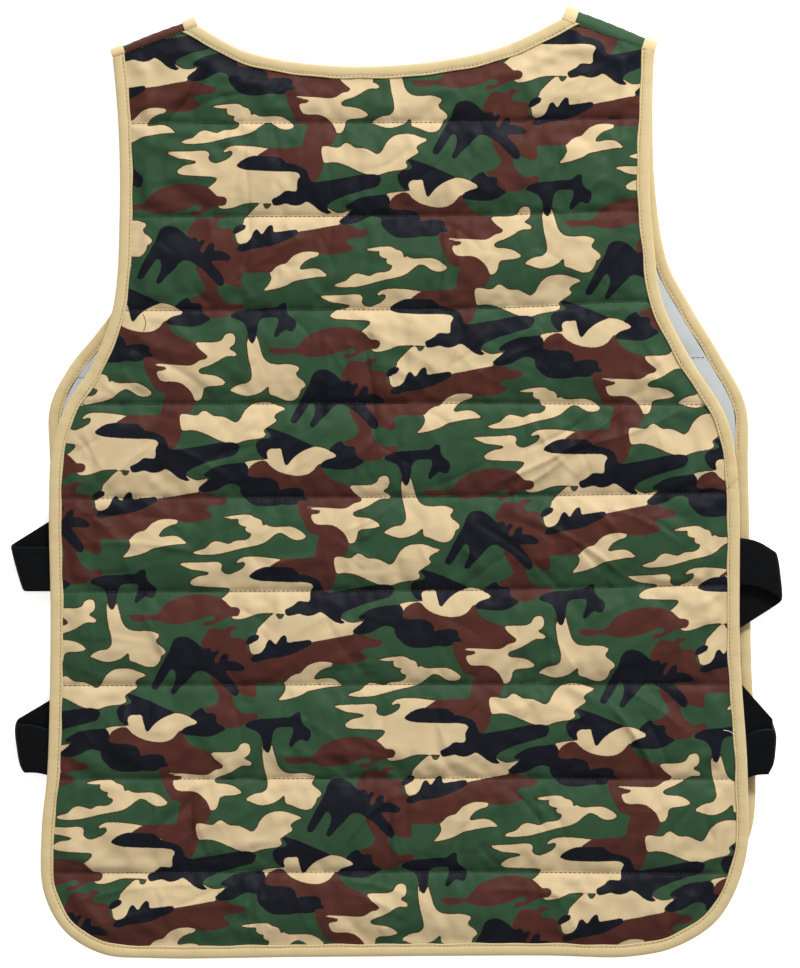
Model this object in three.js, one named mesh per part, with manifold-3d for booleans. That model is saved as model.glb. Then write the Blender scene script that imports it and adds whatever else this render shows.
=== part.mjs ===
// Quilted sleeveless vest, laid flat with its back upwards, in millimetres.
// +X runs to the right across the back, +Y towards the collar and +Z up from the surface that it lies on.
import * as THREE from 'three';
import { mergeVertices } from 'three/addons/utils/BufferGeometryUtils.js';
import Module from 'manifold-3d';

const wasm = await Module();
wasm.setup();

// Clearances
const GAP = 0.3; // between neighbouring pieces
const WELD = 1e-4; // corners closer than this are one corner

// Quilted cloth, as heights above a panel's own underside
const QUILT_PITCH = 65.6; // from stitch line to stitch line
const CROWN = 6.4; // top of a padded channel
const STITCH_TOP = 3.4; // upper side where it is stitched down
const STITCH_BOTTOM = 1.3; // underside where it is stitched up
const HEM_LOW = 1.5; // flat cloth edge that goes into the binding
const HEM_HIGH = 3.3;
const TAPER = 14; // width over which a channel rises from the binding
const LINING = 1;
const CHANNELS = 12;
const CLOTH_REACH = 640; // width of the quilted cloth before it is cut to the outline

// Stations across one channel: share of the pitch, and whether the underside has a corner there too
const CHANNEL_STATIONS = [
  { share: 0, under: true },
  { share: 0.07, under: true },
  { share: 0.26, under: false },
  { share: 0.5, under: false },
  { share: 0.74, under: false },
  { share: 0.93, under: true },
];
const CROWN_POWER = 3; // how flat the crown of a channel is

// Folded bias tape round every raw edge
const TAPE_WIDTH = 9;
const TAPE_WALL = 0.8;
const TAPE_LOW = 0.3;
const TAPE_HIGH = 4.5;
const TAPE_CHAMFER = 1;
const HEM_INSET = 1.5; // cloth edge inside the fold of the tape
const OVERRUN = 14; // spare edge past a shoulder seam, trimmed off again
const EDGE_STEPS = 68;
const NECK_STEPS = 16;

// Heights of the back panel's underside
const BODY_LEVEL = 16;
const SHOULDER_LEVEL = 13;
const DROP_START = 200; // y where the back starts to sink towards the shoulder seams
const DROP_END = 300;

// The front panel rolls over the top of each shoulder and meets the back at a seam
const ROLL_RISE = 8.5; // half of the height across the roll
const ROLL_WALL = 3.2;
const ROLL_LEG = 12; // flat run from the roll into the front panel
const ROLL_SEGMENTS = 5;
const CAP_WIDTH = 9.6; // end of a roll that its binding covers
const CAP_LAP = 1.5; // front binding running on into the cap
const ROLL_INSET = 11.6; // quilted part of the roll, from each end of the seam
const TRIM_SIZE = 160;

// Elastic webbing loops
const STRAP_WIDTH = 30;
const STRAP_THICK = 1.5;
const STRAP_TUCK = 20; // sewn under the back panel
const STRAP_TURN_STEPS = 8;

// Outlines as x, y rows along the outer fold of the tape, anticlockwise with the cloth to the left
const BACK = {
  neck: [
    [115.5, 325.2], [73.5, 305.6], [20, 294.6], [-47, 292.6], [-105, 302.1], [-139.7, 320.3],
  ],
  edge: [
    [-199.5, 297.9], [-195.4, 251.2], [-194.3, 189.6], [-198.8, 123.6], [-214.2, 81.6],
    [-231.5, 54.5], [-241.6, 24], [-243.8, -20], [-242.7, -95], [-245, -202.9],
    [-249, -244], [-247.6, -286], [-233, -314], [-206.5, -330.2], [-170.8, -333.2],
    [-64, -332.4], [100, -331.4], [164, -332],
    [197, -324.6], [226, -304.5], [244.2, -264], [245.7, -205], [240.4, -120],
    [238.9, 2], [231.6, 43.8], [205, 88], [186, 127], [179.8, 170], [177, 212], [180.6, 301.4],
  ],
  quilt: { lineY: -10.2, tilt: 0.2 },
};
const FRONT = {
  neck: [
    [115.5, 325.2], [108, 292], [84, 250], [36, 223], [-16, 217], [-68, 226], [-110, 254], [-133, 293],
    [-139.7, 320.3],
  ],
  edge: [
    [-199.5, 297.9], [-194, 250], [-190, 195], [-197.7, 127], [-211, 106.5], [-231, 81.6],
    [-244.5, 54], [-245, 24], [-240, -40], [-236, -120], [-238, -205],
    [-238, -246], [-226, -276], [-196, -294], [-150, -298], [0, -295], [150, -291],
    [205, -287], [236, -272], [250, -245], [252.7, -201.3], [249.6, -117.3],
    [247.6, 8.8], [245.6, 55], [229, 87.5], [206, 126], [190.8, 155], [181.7, 211.8], [180.6, 301.4],
  ],
  quilt: { lineY: 81.1, tilt: 1.85 },
};

// Shoulder seams from the neck end to the arm end, and how far the roll stands out past each
const SEAMS = [
  { neck: [115.5, 325.2], arm: [180.6, 301.4], reach: 8.6 },
  { neck: [-139.7, 320.3], arm: [-199.5, 297.9], reach: 6.6 },
];

// Straps: where the upper leg leaves the back, its rise going outwards and the lean of its fold in degrees,
// the outermost x of the fold, and the x where the lower leg ends on the lining
const STRAPS = [
  {
    name: 'strap_left_upper', side: -1, edgeX: 243, edgeY: -60,
    rise: 0, lean: 15.9, reach: 265.8, endX: 214,
  },
  {
    name: 'strap_left_lower', side: -1, edgeX: 244, edgeY: -188,
    rise: 9, lean: 8, reach: 265.8, endX: 214,
  },
  {
    name: 'strap_right_upper', side: 1, edgeX: 240, edgeY: -55.3,
    rise: -19, lean: -6.7, reach: 268, endX: 222,
  },
  {
    name: 'strap_right_lower', side: 1, edgeX: 243, edgeY: -190,
    rise: 14, lean: 5, reach: 264.6, endX: 224,
  },
];

// Solids

function solidOf(geometry) {
  const bare = geometry.clone();
  bare.deleteAttribute('normal');
  bare.deleteAttribute('uv');
  const merged = mergeVertices(bare, WELD);
  const vertProperties = new Float32Array(merged.attributes.position.array);
  const triVerts = new Uint32Array(merged.index.array);
  return new wasm.Manifold(new wasm.Mesh({ numProp: 3, vertProperties, triVerts }));
}

function geometryOf(solid) {
  const { vertProperties, triVerts } = solid.getMesh();
  const geometry = new THREE.BufferGeometry();
  geometry.setAttribute('position', new THREE.BufferAttribute(new Float32Array(vertProperties), 3));
  geometry.setIndex(new THREE.BufferAttribute(new Uint32Array(triVerts), 1));
  geometry.computeVertexNormals();
  return geometry;
}

function raised(solid, height) {
  return solid.translate([0, 0, height]);
}

// Outlines

function edgeCurve(rows) {
  const points = rows.map(([x, y]) => new THREE.Vector3(x, y, 0));
  const overrun = (end, before) => end.clone().sub(before).setLength(OVERRUN).add(end);
  const first = overrun(points[0], points[1]);
  const last = overrun(points[points.length - 1], points[points.length - 2]);
  return new THREE.CatmullRomCurve3([first, ...points, last], false, 'centripetal');
}

function insetRun(rows, steps, inset) {
  const curve = edgeCurve(rows);
  return Array.from({ length: steps + 1 }, (_, step) => {
    const point = curve.getPointAt(step / steps);
    const tangent = curve.getTangentAt(step / steps);
    return new THREE.Vector2(point.x - tangent.y * inset, point.y + tangent.x * inset);
  });
}

function outlineShape(panel, inset) {
  const neck = insetRun(panel.neck, NECK_STEPS, inset);
  const edge = insetRun(panel.edge, EDGE_STEPS, inset);
  return new THREE.Shape([...neck, ...edge]);
}

// Everything past a shoulder seam, starting at a distance beyond it

function seamFrame(seam) {
  const neck = new THREE.Vector3(...seam.neck, 0);
  const arm = new THREE.Vector3(...seam.arm, 0);
  const along = arm.clone().sub(neck).normalize();
  const outward = new THREE.Vector3(-along.y, along.x, 0);
  outward.multiplyScalar(Math.sign(outward.y));
  return { neck, along, outward, length: arm.distanceTo(neck) };
}

function trimPastSeams(solid, distance) {
  return SEAMS.reduce((trimmed, seam) => {
    const { neck, along, outward, length } = seamFrame(seam);
    const block = new THREE.BoxGeometry(TRIM_SIZE, TRIM_SIZE, TRIM_SIZE);
    const middle = neck.clone().addScaledVector(along, length / 2);
    middle.addScaledVector(outward, distance + TRIM_SIZE / 2);
    block.rotateZ(Math.atan2(along.y, along.x));
    block.translate(middle.x, middle.y, middle.z);
    return trimmed.subtract(solidOf(block));
  }, solid);
}

// Quilted cloth: a channelled sheet cut to a pillow of the outline

function crown(share) {
  return 1 - Math.abs(2 * share - 1) ** CROWN_POWER;
}

function channelSheet(quilt) {
  const start = quilt.lineY - (CHANNELS / 2) * QUILT_PITCH;
  const upper = [];
  const under = [];
  for (let channel = 0; channel < CHANNELS; channel += 1) {
    CHANNEL_STATIONS.forEach((station) => {
      const y = start + (channel + station.share) * QUILT_PITCH;
      const rise = crown(station.share) * (CROWN - STITCH_TOP);
      upper.push(new THREE.Vector2(y, STITCH_TOP + rise));
      if (station.under) under.push(new THREE.Vector2(y, station.share === 0 ? STITCH_BOTTOM : 0));
    });
  }
  const section = new THREE.Shape([...under, ...upper.reverse()]);
  const sheet = new THREE.ExtrudeGeometry(section, { depth: CLOTH_REACH, bevelEnabled: false });
  const acrossAxes = new THREE.Matrix4().makeBasis(
    new THREE.Vector3(0, 1, 0),
    new THREE.Vector3(0, 0, 1),
    new THREE.Vector3(1, 0, 0),
  );
  sheet.applyMatrix4(acrossAxes);
  sheet.translate(-CLOTH_REACH / 2, 0, 0);
  sheet.rotateZ(THREE.MathUtils.degToRad(quilt.tilt));
  return solidOf(sheet);
}

function pillow(panel, inset) {
  const geometry = new THREE.ExtrudeGeometry(outlineShape(panel, inset), {
    depth: HEM_HIGH - HEM_LOW,
    bevelThickness: CROWN - HEM_HIGH,
    bevelSize: TAPER,
    bevelOffset: -TAPER,
    bevelSegments: 2,
  });
  geometry.translate(0, 0, HEM_LOW);
  return solidOf(geometry);
}

function slab(panel, inset, low, high) {
  const geometry = new THREE.ExtrudeGeometry(outlineShape(panel, inset), {
    depth: high - low,
    bevelEnabled: false,
  });
  geometry.translate(0, 0, low);
  return solidOf(geometry);
}

function quiltedCloth(panel, inset) {
  return channelSheet(panel.quilt).intersect(pillow(panel, inset));
}

function quiltedPanel(panel) {
  const padding = quiltedCloth(panel, TAPE_WIDTH + GAP);
  return trimPastSeams(padding.add(slab(panel, HEM_INSET, HEM_LOW, HEM_HIGH)), -GAP);
}

// Shoulder rolls of the front panel and of its bindings

function rollSection(reach, leg) {
  const section = new THREE.Shape();
  const quarter = Math.PI / 2;
  const inner = ROLL_RISE - ROLL_WALL;
  section.moveTo(-leg, -ROLL_RISE);
  section.lineTo(0, -ROLL_RISE);
  section.absellipse(0, 0, reach, ROLL_RISE, -quarter, quarter, false);
  section.lineTo(0, inner);
  section.absellipse(0, 0, reach - ROLL_WALL, inner, quarter, -quarter, true);
  section.lineTo(-leg, -inner);
  return section;
}

function shoulderRoll(seam, fromNeck, length, leg) {
  const { neck, along, outward } = seamFrame(seam);
  const up = new THREE.Vector3(0, 0, 1);
  const run = outward.clone().cross(up);
  const roll = new THREE.ExtrudeGeometry(rollSection(seam.reach, leg), {
    depth: length,
    curveSegments: ROLL_SEGMENTS,
    bevelEnabled: false,
  });
  const start = run.dot(along) > 0 ? fromNeck : fromNeck + length;
  const origin = neck.clone().addScaledVector(along, start);
  roll.applyMatrix4(new THREE.Matrix4().makeBasis(outward, up, run));
  roll.translate(origin.x, origin.y, ROLL_RISE);
  return solidOf(roll);
}

// Bias tape: a folded U swept along an edge

function tapeSection() {
  const corners = [
    { height: TAPE_LOW, depth: TAPE_WIDTH },
    { height: TAPE_LOW, depth: TAPE_CHAMFER },
    { height: TAPE_LOW + TAPE_CHAMFER, depth: 0 },
    { height: TAPE_HIGH - TAPE_CHAMFER, depth: 0 },
    { height: TAPE_HIGH, depth: TAPE_CHAMFER },
    { height: TAPE_HIGH, depth: TAPE_WIDTH },
    { height: TAPE_HIGH - TAPE_WALL, depth: TAPE_WIDTH },
    { height: TAPE_HIGH - TAPE_WALL, depth: HEM_INSET - GAP },
    { height: TAPE_LOW + TAPE_WALL, depth: HEM_INSET - GAP },
    { height: TAPE_LOW + TAPE_WALL, depth: TAPE_WIDTH },
  ];
  return new THREE.Shape(corners.map(({ height, depth }) => new THREE.Vector2(-height, depth)));
}

function boundEdge(rows, steps) {
  const tape = new THREE.ExtrudeGeometry(tapeSection(), { extrudePath: edgeCurve(rows), steps });
  return solidOf(tape);
}

function cappedTape(rows, steps, endOfSeam) {
  const tape = trimPastSeams(boundEdge(rows, steps), CAP_LAP);
  return SEAMS.reduce((capped, seam) => {
    const fromNeck = endOfSeam === 'neck' ? 0 : seamFrame(seam).length - CAP_WIDTH;
    return capped.add(shoulderRoll(seam, fromNeck, CAP_WIDTH, 0));
  }, tape);
}

// The back panel's rise over the straps and its drop towards the shoulders

function liftBack(geometry) {
  const position = geometry.attributes.position;
  for (let corner = 0; corner < position.count; corner += 1) {
    const drop = THREE.MathUtils.smoothstep(position.getY(corner), DROP_START, DROP_END);
    const level = THREE.MathUtils.lerp(BODY_LEVEL, SHOULDER_LEVEL, drop);
    position.setZ(corner, position.getZ(corner) + level);
  }
  geometry.computeVertexNormals();
  return geometry;
}

// Straps: a flat band rolled round a leaning fold, so its lower leg turns by twice the lean

function strap({ side, edgeX, edgeY, rise, lean, reach, endX }) {
  const upperMiddle = BODY_LEVEL - GAP - STRAP_THICK / 2;
  const lowerMiddle = CROWN + GAP + LINING + GAP + STRAP_THICK / 2;
  const radius = (upperMiddle - lowerMiddle) / 2;
  const level = (upperMiddle + lowerMiddle) / 2;
  const riseAngle = THREE.MathUtils.degToRad(rise);
  const leanAngle = THREE.MathUtils.degToRad(lean);
  const leg = new THREE.Vector2(side * Math.cos(riseAngle), Math.sin(riseAngle));
  const across = new THREE.Vector2(-leg.y, leg.x);
  const fold = new THREE.Vector2(side * Math.sin(leanAngle), Math.cos(leanAngle));
  const foldOut = new THREE.Vector2(side * Math.cos(leanAngle), -Math.sin(leanAngle));
  const start = new THREE.Vector2(side * edgeX, edgeY);

  const upperRun = (reach - radius - STRAP_THICK / 2 - edgeX) / Math.cos(riseAngle);
  const turnStart = start.clone().addScaledVector(leg, upperRun);
  const slant = leg.dot(foldOut);
  const returnX = Math.abs(leg.x - 2 * slant * foldOut.x);
  const turnRun = (Math.PI * radius) / slant;
  const lowerRun = (Math.abs(turnStart.x) - endX) / returnX;
  const turns = Array.from({ length: STRAP_TURN_STEPS + 1 }, (_, step) => {
    return upperRun + (turnRun * step) / STRAP_TURN_STEPS;
  });
  const runs = [-STRAP_TUCK, ...turns, upperRun + turnRun + lowerRun];

  const band = new THREE.BoxGeometry(1, STRAP_WIDTH, STRAP_THICK, runs.length - 1, 1, 1);
  const position = band.attributes.position;
  const skew = fold.dot(leg) / fold.dot(across);
  for (let corner = 0; corner < position.count; corner += 1) {
    const share = position.getX(corner) + 0.5;
    const sideways = position.getY(corner);
    const run = runs[Math.round(share * (runs.length - 1))] + sideways * skew;
    const flat = start.clone().addScaledVector(leg, run).addScaledVector(across, sideways).sub(turnStart);
    const past = flat.dot(foldOut);
    const turn = THREE.MathUtils.clamp(past / radius, 0, Math.PI);
    const outside = radius + position.getZ(corner);
    const lowerLeg = Math.max(past - Math.PI * radius, 0);
    const reachOut = Math.min(past, 0) + outside * Math.sin(turn) - lowerLeg;
    const place = turnStart.clone().addScaledVector(foldOut, reachOut).addScaledVector(fold, flat.dot(fold));
    position.setXYZ(corner, place.x, place.y, level + outside * Math.cos(turn));
  }
  band.computeVertexNormals();
  return band;
}

// Assembly

const CAMOUFLAGE = { color: 0x4a5238, roughness: 0.9, metalness: 0 };
const TAPE = { color: 0xe3c896, roughness: 0.85, metalness: 0 };
const LINING_CLOTH = { color: 0xc6d0d6, roughness: 0.8, metalness: 0 };
const WEBBING = { color: 0x0c0e11, roughness: 0.75, metalness: 0 };

const vest = new THREE.Group();

function addPiece(name, geometry, finish) {
  const piece = new THREE.Mesh(geometry, new THREE.MeshStandardMaterial(finish));
  piece.name = name;
  vest.add(piece);
}

const backPanel = quiltedPanel(BACK);
addPiece('back_panel', liftBack(geometryOf(backPanel)), CAMOUFLAGE);

const frontPanel = SEAMS.reduce((panel, seam) => {
  const length = seamFrame(seam).length - 2 * ROLL_INSET;
  return panel.add(shoulderRoll(seam, ROLL_INSET, length, ROLL_LEG));
}, quiltedPanel(FRONT));
addPiece('front_panel', geometryOf(frontPanel), CAMOUFLAGE);

const liningTop = raised(quiltedCloth(FRONT, TAPE_WIDTH + 2 * GAP), GAP + LINING);
const liningBase = raised(quiltedCloth(FRONT, TAPE_WIDTH + GAP), GAP);
const belowLining = slab(FRONT, TAPE_WIDTH, -CROWN, HEM_HIGH);
const lining = trimPastSeams(liningTop.subtract(liningBase).subtract(belowLining), -GAP);
addPiece('front_lining', geometryOf(lining), LINING_CLOTH);

const backNeck = trimPastSeams(boundEdge(BACK.neck, NECK_STEPS), -GAP);
addPiece('back_neck_binding', liftBack(geometryOf(backNeck)), TAPE);
const backEdge = trimPastSeams(boundEdge(BACK.edge, EDGE_STEPS), -GAP);
addPiece('back_edge_binding', liftBack(geometryOf(backEdge)), TAPE);
addPiece('front_neck_binding', geometryOf(cappedTape(FRONT.neck, NECK_STEPS, 'neck')), TAPE);
addPiece('front_edge_binding', geometryOf(cappedTape(FRONT.edge, EDGE_STEPS, 'arm')), TAPE);

STRAPS.forEach((row) => addPiece(row.name, strap(row), WEBBING));

// The origin is under the middle of the whole vest
const box = new THREE.Box3().setFromObject(vest);
const middle = box.getCenter(new THREE.Vector3());
vest.position.set(-middle.x, -middle.y, -box.min.z);

export default vest;
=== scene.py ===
import math

import bmesh
import bpy
import numpy as np
from mathutils import Matrix, Vector, noise
from mathutils.bvhtree import BVHTree


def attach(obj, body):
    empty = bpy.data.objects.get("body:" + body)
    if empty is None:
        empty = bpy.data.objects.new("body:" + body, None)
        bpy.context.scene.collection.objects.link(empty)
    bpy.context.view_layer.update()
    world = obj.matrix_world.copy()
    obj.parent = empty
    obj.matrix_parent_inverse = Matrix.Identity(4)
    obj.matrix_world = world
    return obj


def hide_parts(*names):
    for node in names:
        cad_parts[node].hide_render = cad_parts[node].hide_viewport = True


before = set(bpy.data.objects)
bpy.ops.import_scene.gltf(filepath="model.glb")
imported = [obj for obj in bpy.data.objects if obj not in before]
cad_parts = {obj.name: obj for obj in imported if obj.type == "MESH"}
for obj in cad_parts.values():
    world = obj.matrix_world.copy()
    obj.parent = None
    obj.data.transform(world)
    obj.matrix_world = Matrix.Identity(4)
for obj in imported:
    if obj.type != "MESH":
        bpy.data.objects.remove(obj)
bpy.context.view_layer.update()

mm = 0.001
waveGap = 0.314  # a wave texture's bands lie this far apart at scale 1
crispAngle = math.radians(75)  # edges that turn by more, such as cut ends, are not smoothed over
print("frame loaded:", sorted(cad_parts))


# small helpers that every piece uses

def hexColour(code):
    # sRGB hex to the linear values that the shader sockets take
    channels = [int(code[i:i + 2], 16) / 255 for i in (1, 3, 5)]
    linear = [c / 12.92 if c <= 0.04045 else ((c + 0.055) / 1.055) ** 2.4 for c in channels]
    return (*linear, 1.0)


def addNode(tree, kind, links=(), **settings):
    # settings are node properties, or socket values under the socket's name or number
    node = tree.nodes.new(kind)
    sockets = settings.pop("sockets", {})
    for name, value in settings.items():
        setattr(node, name, value)
    for name, value in sockets.items():
        node.inputs[name].default_value = value
    for name, source in links:
        tree.links.new(source, node.inputs[name])
    return node


def newMaterial(name, **shader):
    material = bpy.data.materials.new(name)
    material.use_nodes = True
    tree = material.node_tree
    bsdf = tree.nodes["Principled BSDF"]
    for socket, value in shader.items():
        bsdf.inputs[socket.replace("_", " ")].default_value = value
    return material, tree, bsdf


def smoothLine(rows, perSpan, closed=False):
    # centripetal curve through the rows, the same kind that the solids' outlines follow
    p = np.array(rows, float)
    p = np.vstack([p[-1], p, p[:2]]) if closed else np.vstack([2 * p[0] - p[1], p, 2 * p[-1] - p[-2]])
    t = np.linspace(0, 1, perSpan, endpoint=False)[:, None]
    spans = []
    for a, b, c, d in zip(p[:-3], p[1:-2], p[2:-1], p[3:]):
        ab, bc, cd = (max(np.linalg.norm(w - v), 1e-6) ** 0.5 for v, w in ((a, b), (b, c), (c, d)))
        leave = ((b - a) / ab - (c - a) / (ab + bc) + (c - b) / bc) * bc
        arrive = ((c - b) / bc - (d - b) / (bc + cd) + (d - c) / cd) * bc
        spans.append(b * (2 * t**3 - 3 * t**2 + 1) + leave * (t**3 - 2 * t**2 + t)
                     + c * (3 * t**2 - 2 * t**3) + arrive * (t**3 - t**2))
    return np.vstack(spans if closed else spans + [p[-2:-1]])


def evenLine(rows, step):
    # the smooth line again at equal steps, with its unit tangents
    line = smoothLine(rows, 40)
    along = np.concatenate([[0], np.cumsum(np.linalg.norm(np.diff(line, axis=0), axis=1))])
    stations = np.linspace(0, along[-1], max(2, round(along[-1] / step) + 1))
    points = np.column_stack([np.interp(stations, along, line[:, i]) for i in range(line.shape[1])])
    tangents = np.gradient(points, axis=0)
    tangents /= np.linalg.norm(tangents, axis=1)[:, None]
    return points, tangents, stations


def insideBy(points, loop, reach=1e9):
    # how far each point is inside a closed loop, negative outside, cut off at plus or minus reach
    result = np.full(len(points), -reach)
    low, high = loop.min(0) - reach, loop.max(0) + reach
    near = np.flatnonzero(((points > low) & (points < high)).all(1))
    ends = np.roll(loop, -1, axis=0)
    spans = ends - loop
    lengths = np.maximum((spans**2).sum(1), 1e-12)
    for chunk in np.array_split(near, max(1, len(near) * len(loop) // 2000000)):
        if not len(chunk):
            continue
        offset = points[chunk][:, None, :] - loop[None]
        share = np.clip((offset * spans).sum(2) / lengths, 0, 1)
        gap = np.sqrt(((offset - share[..., None] * spans) ** 2).sum(2).min(1))
        y = points[chunk][:, 1][:, None]
        crosses = (loop[None, :, 1] > y) != (ends[None, :, 1] > y)
        rise = np.where(np.abs(spans[:, 1]) < 1e-12, 1e-12, spans[:, 1])
        meets = loop[None, :, 0] + (y - loop[None, :, 1]) / rise[None] * spans[None, :, 0]
        inside = (crosses & (points[chunk][:, 0][:, None] < meets)).sum(1) % 2 == 1
        result[chunk] = np.clip(np.where(inside, gap, -gap), -reach, reach)
    return result


def smoothStep(value, low, high):
    t = np.clip((np.asarray(value, float) - low) / (high - low), 0, 1)
    return t * t * (3 - 2 * t)


def clothGrid(columns, rows, layer, flatSize):
    # a grid from -0.5 to 0.5 each way, with the cloth's flat size in mm laid out as its pattern
    bm = bmesh.new()
    bmesh.ops.create_grid(bm, x_segments=columns, y_segments=rows, size=0.5)
    uv = bm.loops.layers.uv.new(layer)
    for f in bm.faces:
        for corner in f.loops:
            corner[uv].uv = [(at + 0.5) * size * mm for at, size in zip(corner.vert.co.xy, flatSize)]
    return bm


def doubled(bm):
    # a second layer on a sheet of cloth, whose corners come back; its parts are put in a fixed order, because
    # the swelling depends on that and extruding leaves them in another order each time
    grown = bmesh.ops.extrude_face_region(bm, geom=bm.faces[:])["geom"]
    bm.verts.index_update()
    for parts in (bm.edges, bm.faces):
        ranked = sorted(parts, key=lambda part: sorted(v.index for v in part.verts))
        rank = {part: number for number, part in enumerate(ranked)}
        parts.sort(key=rank.get)
    return {g for g in grown if isinstance(g, bmesh.types.BMVert)}


def newPiece(name, bm, materials, nodes=()):
    mesh = bpy.data.meshes.new(name)
    bm.to_mesh(mesh)
    bm.free()
    mesh.polygons.foreach_set("use_smooth", [True] * len(mesh.polygons))
    mesh.set_sharp_from_angle(angle=crispAngle)
    piece = bpy.data.objects.new(name, mesh)
    bpy.context.scene.collection.objects.link(piece)
    for material in materials:
        mesh.materials.append(material)
    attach(piece, "root")
    if nodes:
        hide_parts(*nodes)
    print("piece made:", name, len(mesh.polygons), "faces")
    return piece


# camera, floor and light

studio = {
    "pixel": 0.7, "tall": 968,  # mm on the cloth that a pixel covers, and the picture's height in pixels
    "middle": (2.1, -1.05),  # mm, what the middle of the picture looks at
    "height": 2500, "cloth": 20,  # mm, the camera and the cloth above the floor
    "sensor": 36,
    "floor": 6, "gap": 0.3,  # half the floor's side in metres, and mm from it up to the vest
    "glow": 0.66, "ambient": 0.4,  # light from the paper itself and from the room
}

camera = bpy.data.objects.new("camera", bpy.data.cameras.new("camera"))
camera.data.sensor_width = studio["sensor"]
distance = studio["height"] - studio["cloth"]
camera.data.lens = studio["sensor"] * distance / (studio["tall"] * studio["pixel"])
camera.location = (studio["middle"][0] * mm, studio["middle"][1] * mm, studio["height"] * mm)
bpy.context.scene.collection.objects.link(camera)
bpy.context.scene.camera = camera
bpy.context.scene.view_settings.view_transform = "Standard"

floorMesh = bmesh.new()
bmesh.ops.create_grid(floorMesh, x_segments=2, y_segments=2, size=studio["floor"])
bmesh.ops.translate(floorMesh, vec=(0, 0, -studio["gap"] * mm), verts=floorMesh.verts)
floorData = bpy.data.meshes.new("floor")
floorMesh.to_mesh(floorData)
floorMesh.free()
floor = bpy.data.objects.new("floor", floorData)
bpy.context.scene.collection.objects.link(floor)

# studio paper roll: matt and near white, with a faint mottle
paper, tree, bsdf = newMaterial("white paper backdrop", Roughness=0.9,
                                Emission_Color=hexColour("#ffffff"), Emission_Strength=studio["glow"])
where = addNode(tree, "ShaderNodeTexCoord")
mottle = addNode(tree, "ShaderNodeTexNoise", [("Vector", where.outputs["Object"])], sockets={"Scale": 3.0})
tint = addNode(tree, "ShaderNodeMix", [(0, mottle.outputs["Fac"])], data_type="RGBA",
               sockets={6: hexColour("#f7f7f7"), 7: hexColour("#fcfcfc")})
tree.links.new(tint.outputs[2], bsdf.inputs["Base Color"])
floor.data.materials.append(paper)

lamps = [  # where the light comes from, its softness in degrees and its strength
    {"name": "key", "from": (0.3, 1.0, 0.72), "softness": 13, "strength": 2.85},
    {"name": "fill", "from": (-0.5, -1.0, 1.6), "softness": 60, "strength": 0.22},
]
for lamp in lamps:
    light = bpy.data.objects.new(lamp["name"], bpy.data.lights.new(lamp["name"], "SUN"))
    light.data.angle = math.radians(lamp["softness"])
    light.data.energy = lamp["strength"]
    light.location = Vector(lamp["from"]) * 2
    light.rotation_euler = Vector(lamp["from"]).to_track_quat("Z", "Y").to_euler()
    bpy.context.scene.collection.objects.link(light)

softbox = {"at": (0.32, 0.62, 0.44), "towards": (0, 0.22, 0), "side": 0.3, "power": 1.3}  # metres and watts
light = bpy.data.objects.new("softbox", bpy.data.lights.new("softbox", "AREA"))
light.data.size = softbox["side"]
light.data.energy = softbox["power"]
light.location = softbox["at"]
light.rotation_euler = (Vector(softbox["at"]) - Vector(softbox["towards"])).to_track_quat("Z", "Y").to_euler()
light.visible_camera = False
bpy.context.scene.collection.objects.link(light)

world = bpy.data.worlds.new("studio")
bpy.context.scene.world = world
world.use_nodes = True
world.node_tree.nodes["Background"].inputs["Color"].default_value = hexColour("#ffffff")
world.node_tree.nodes["Background"].inputs["Strength"].default_value = studio["ambient"]
print("camera, floor and lamps are up")


# woodland camouflage, charted as one small repeat: the outline of each blot in chart steps,
# x to the right and y down; green is the ground, and black is printed over brown over tan

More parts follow.
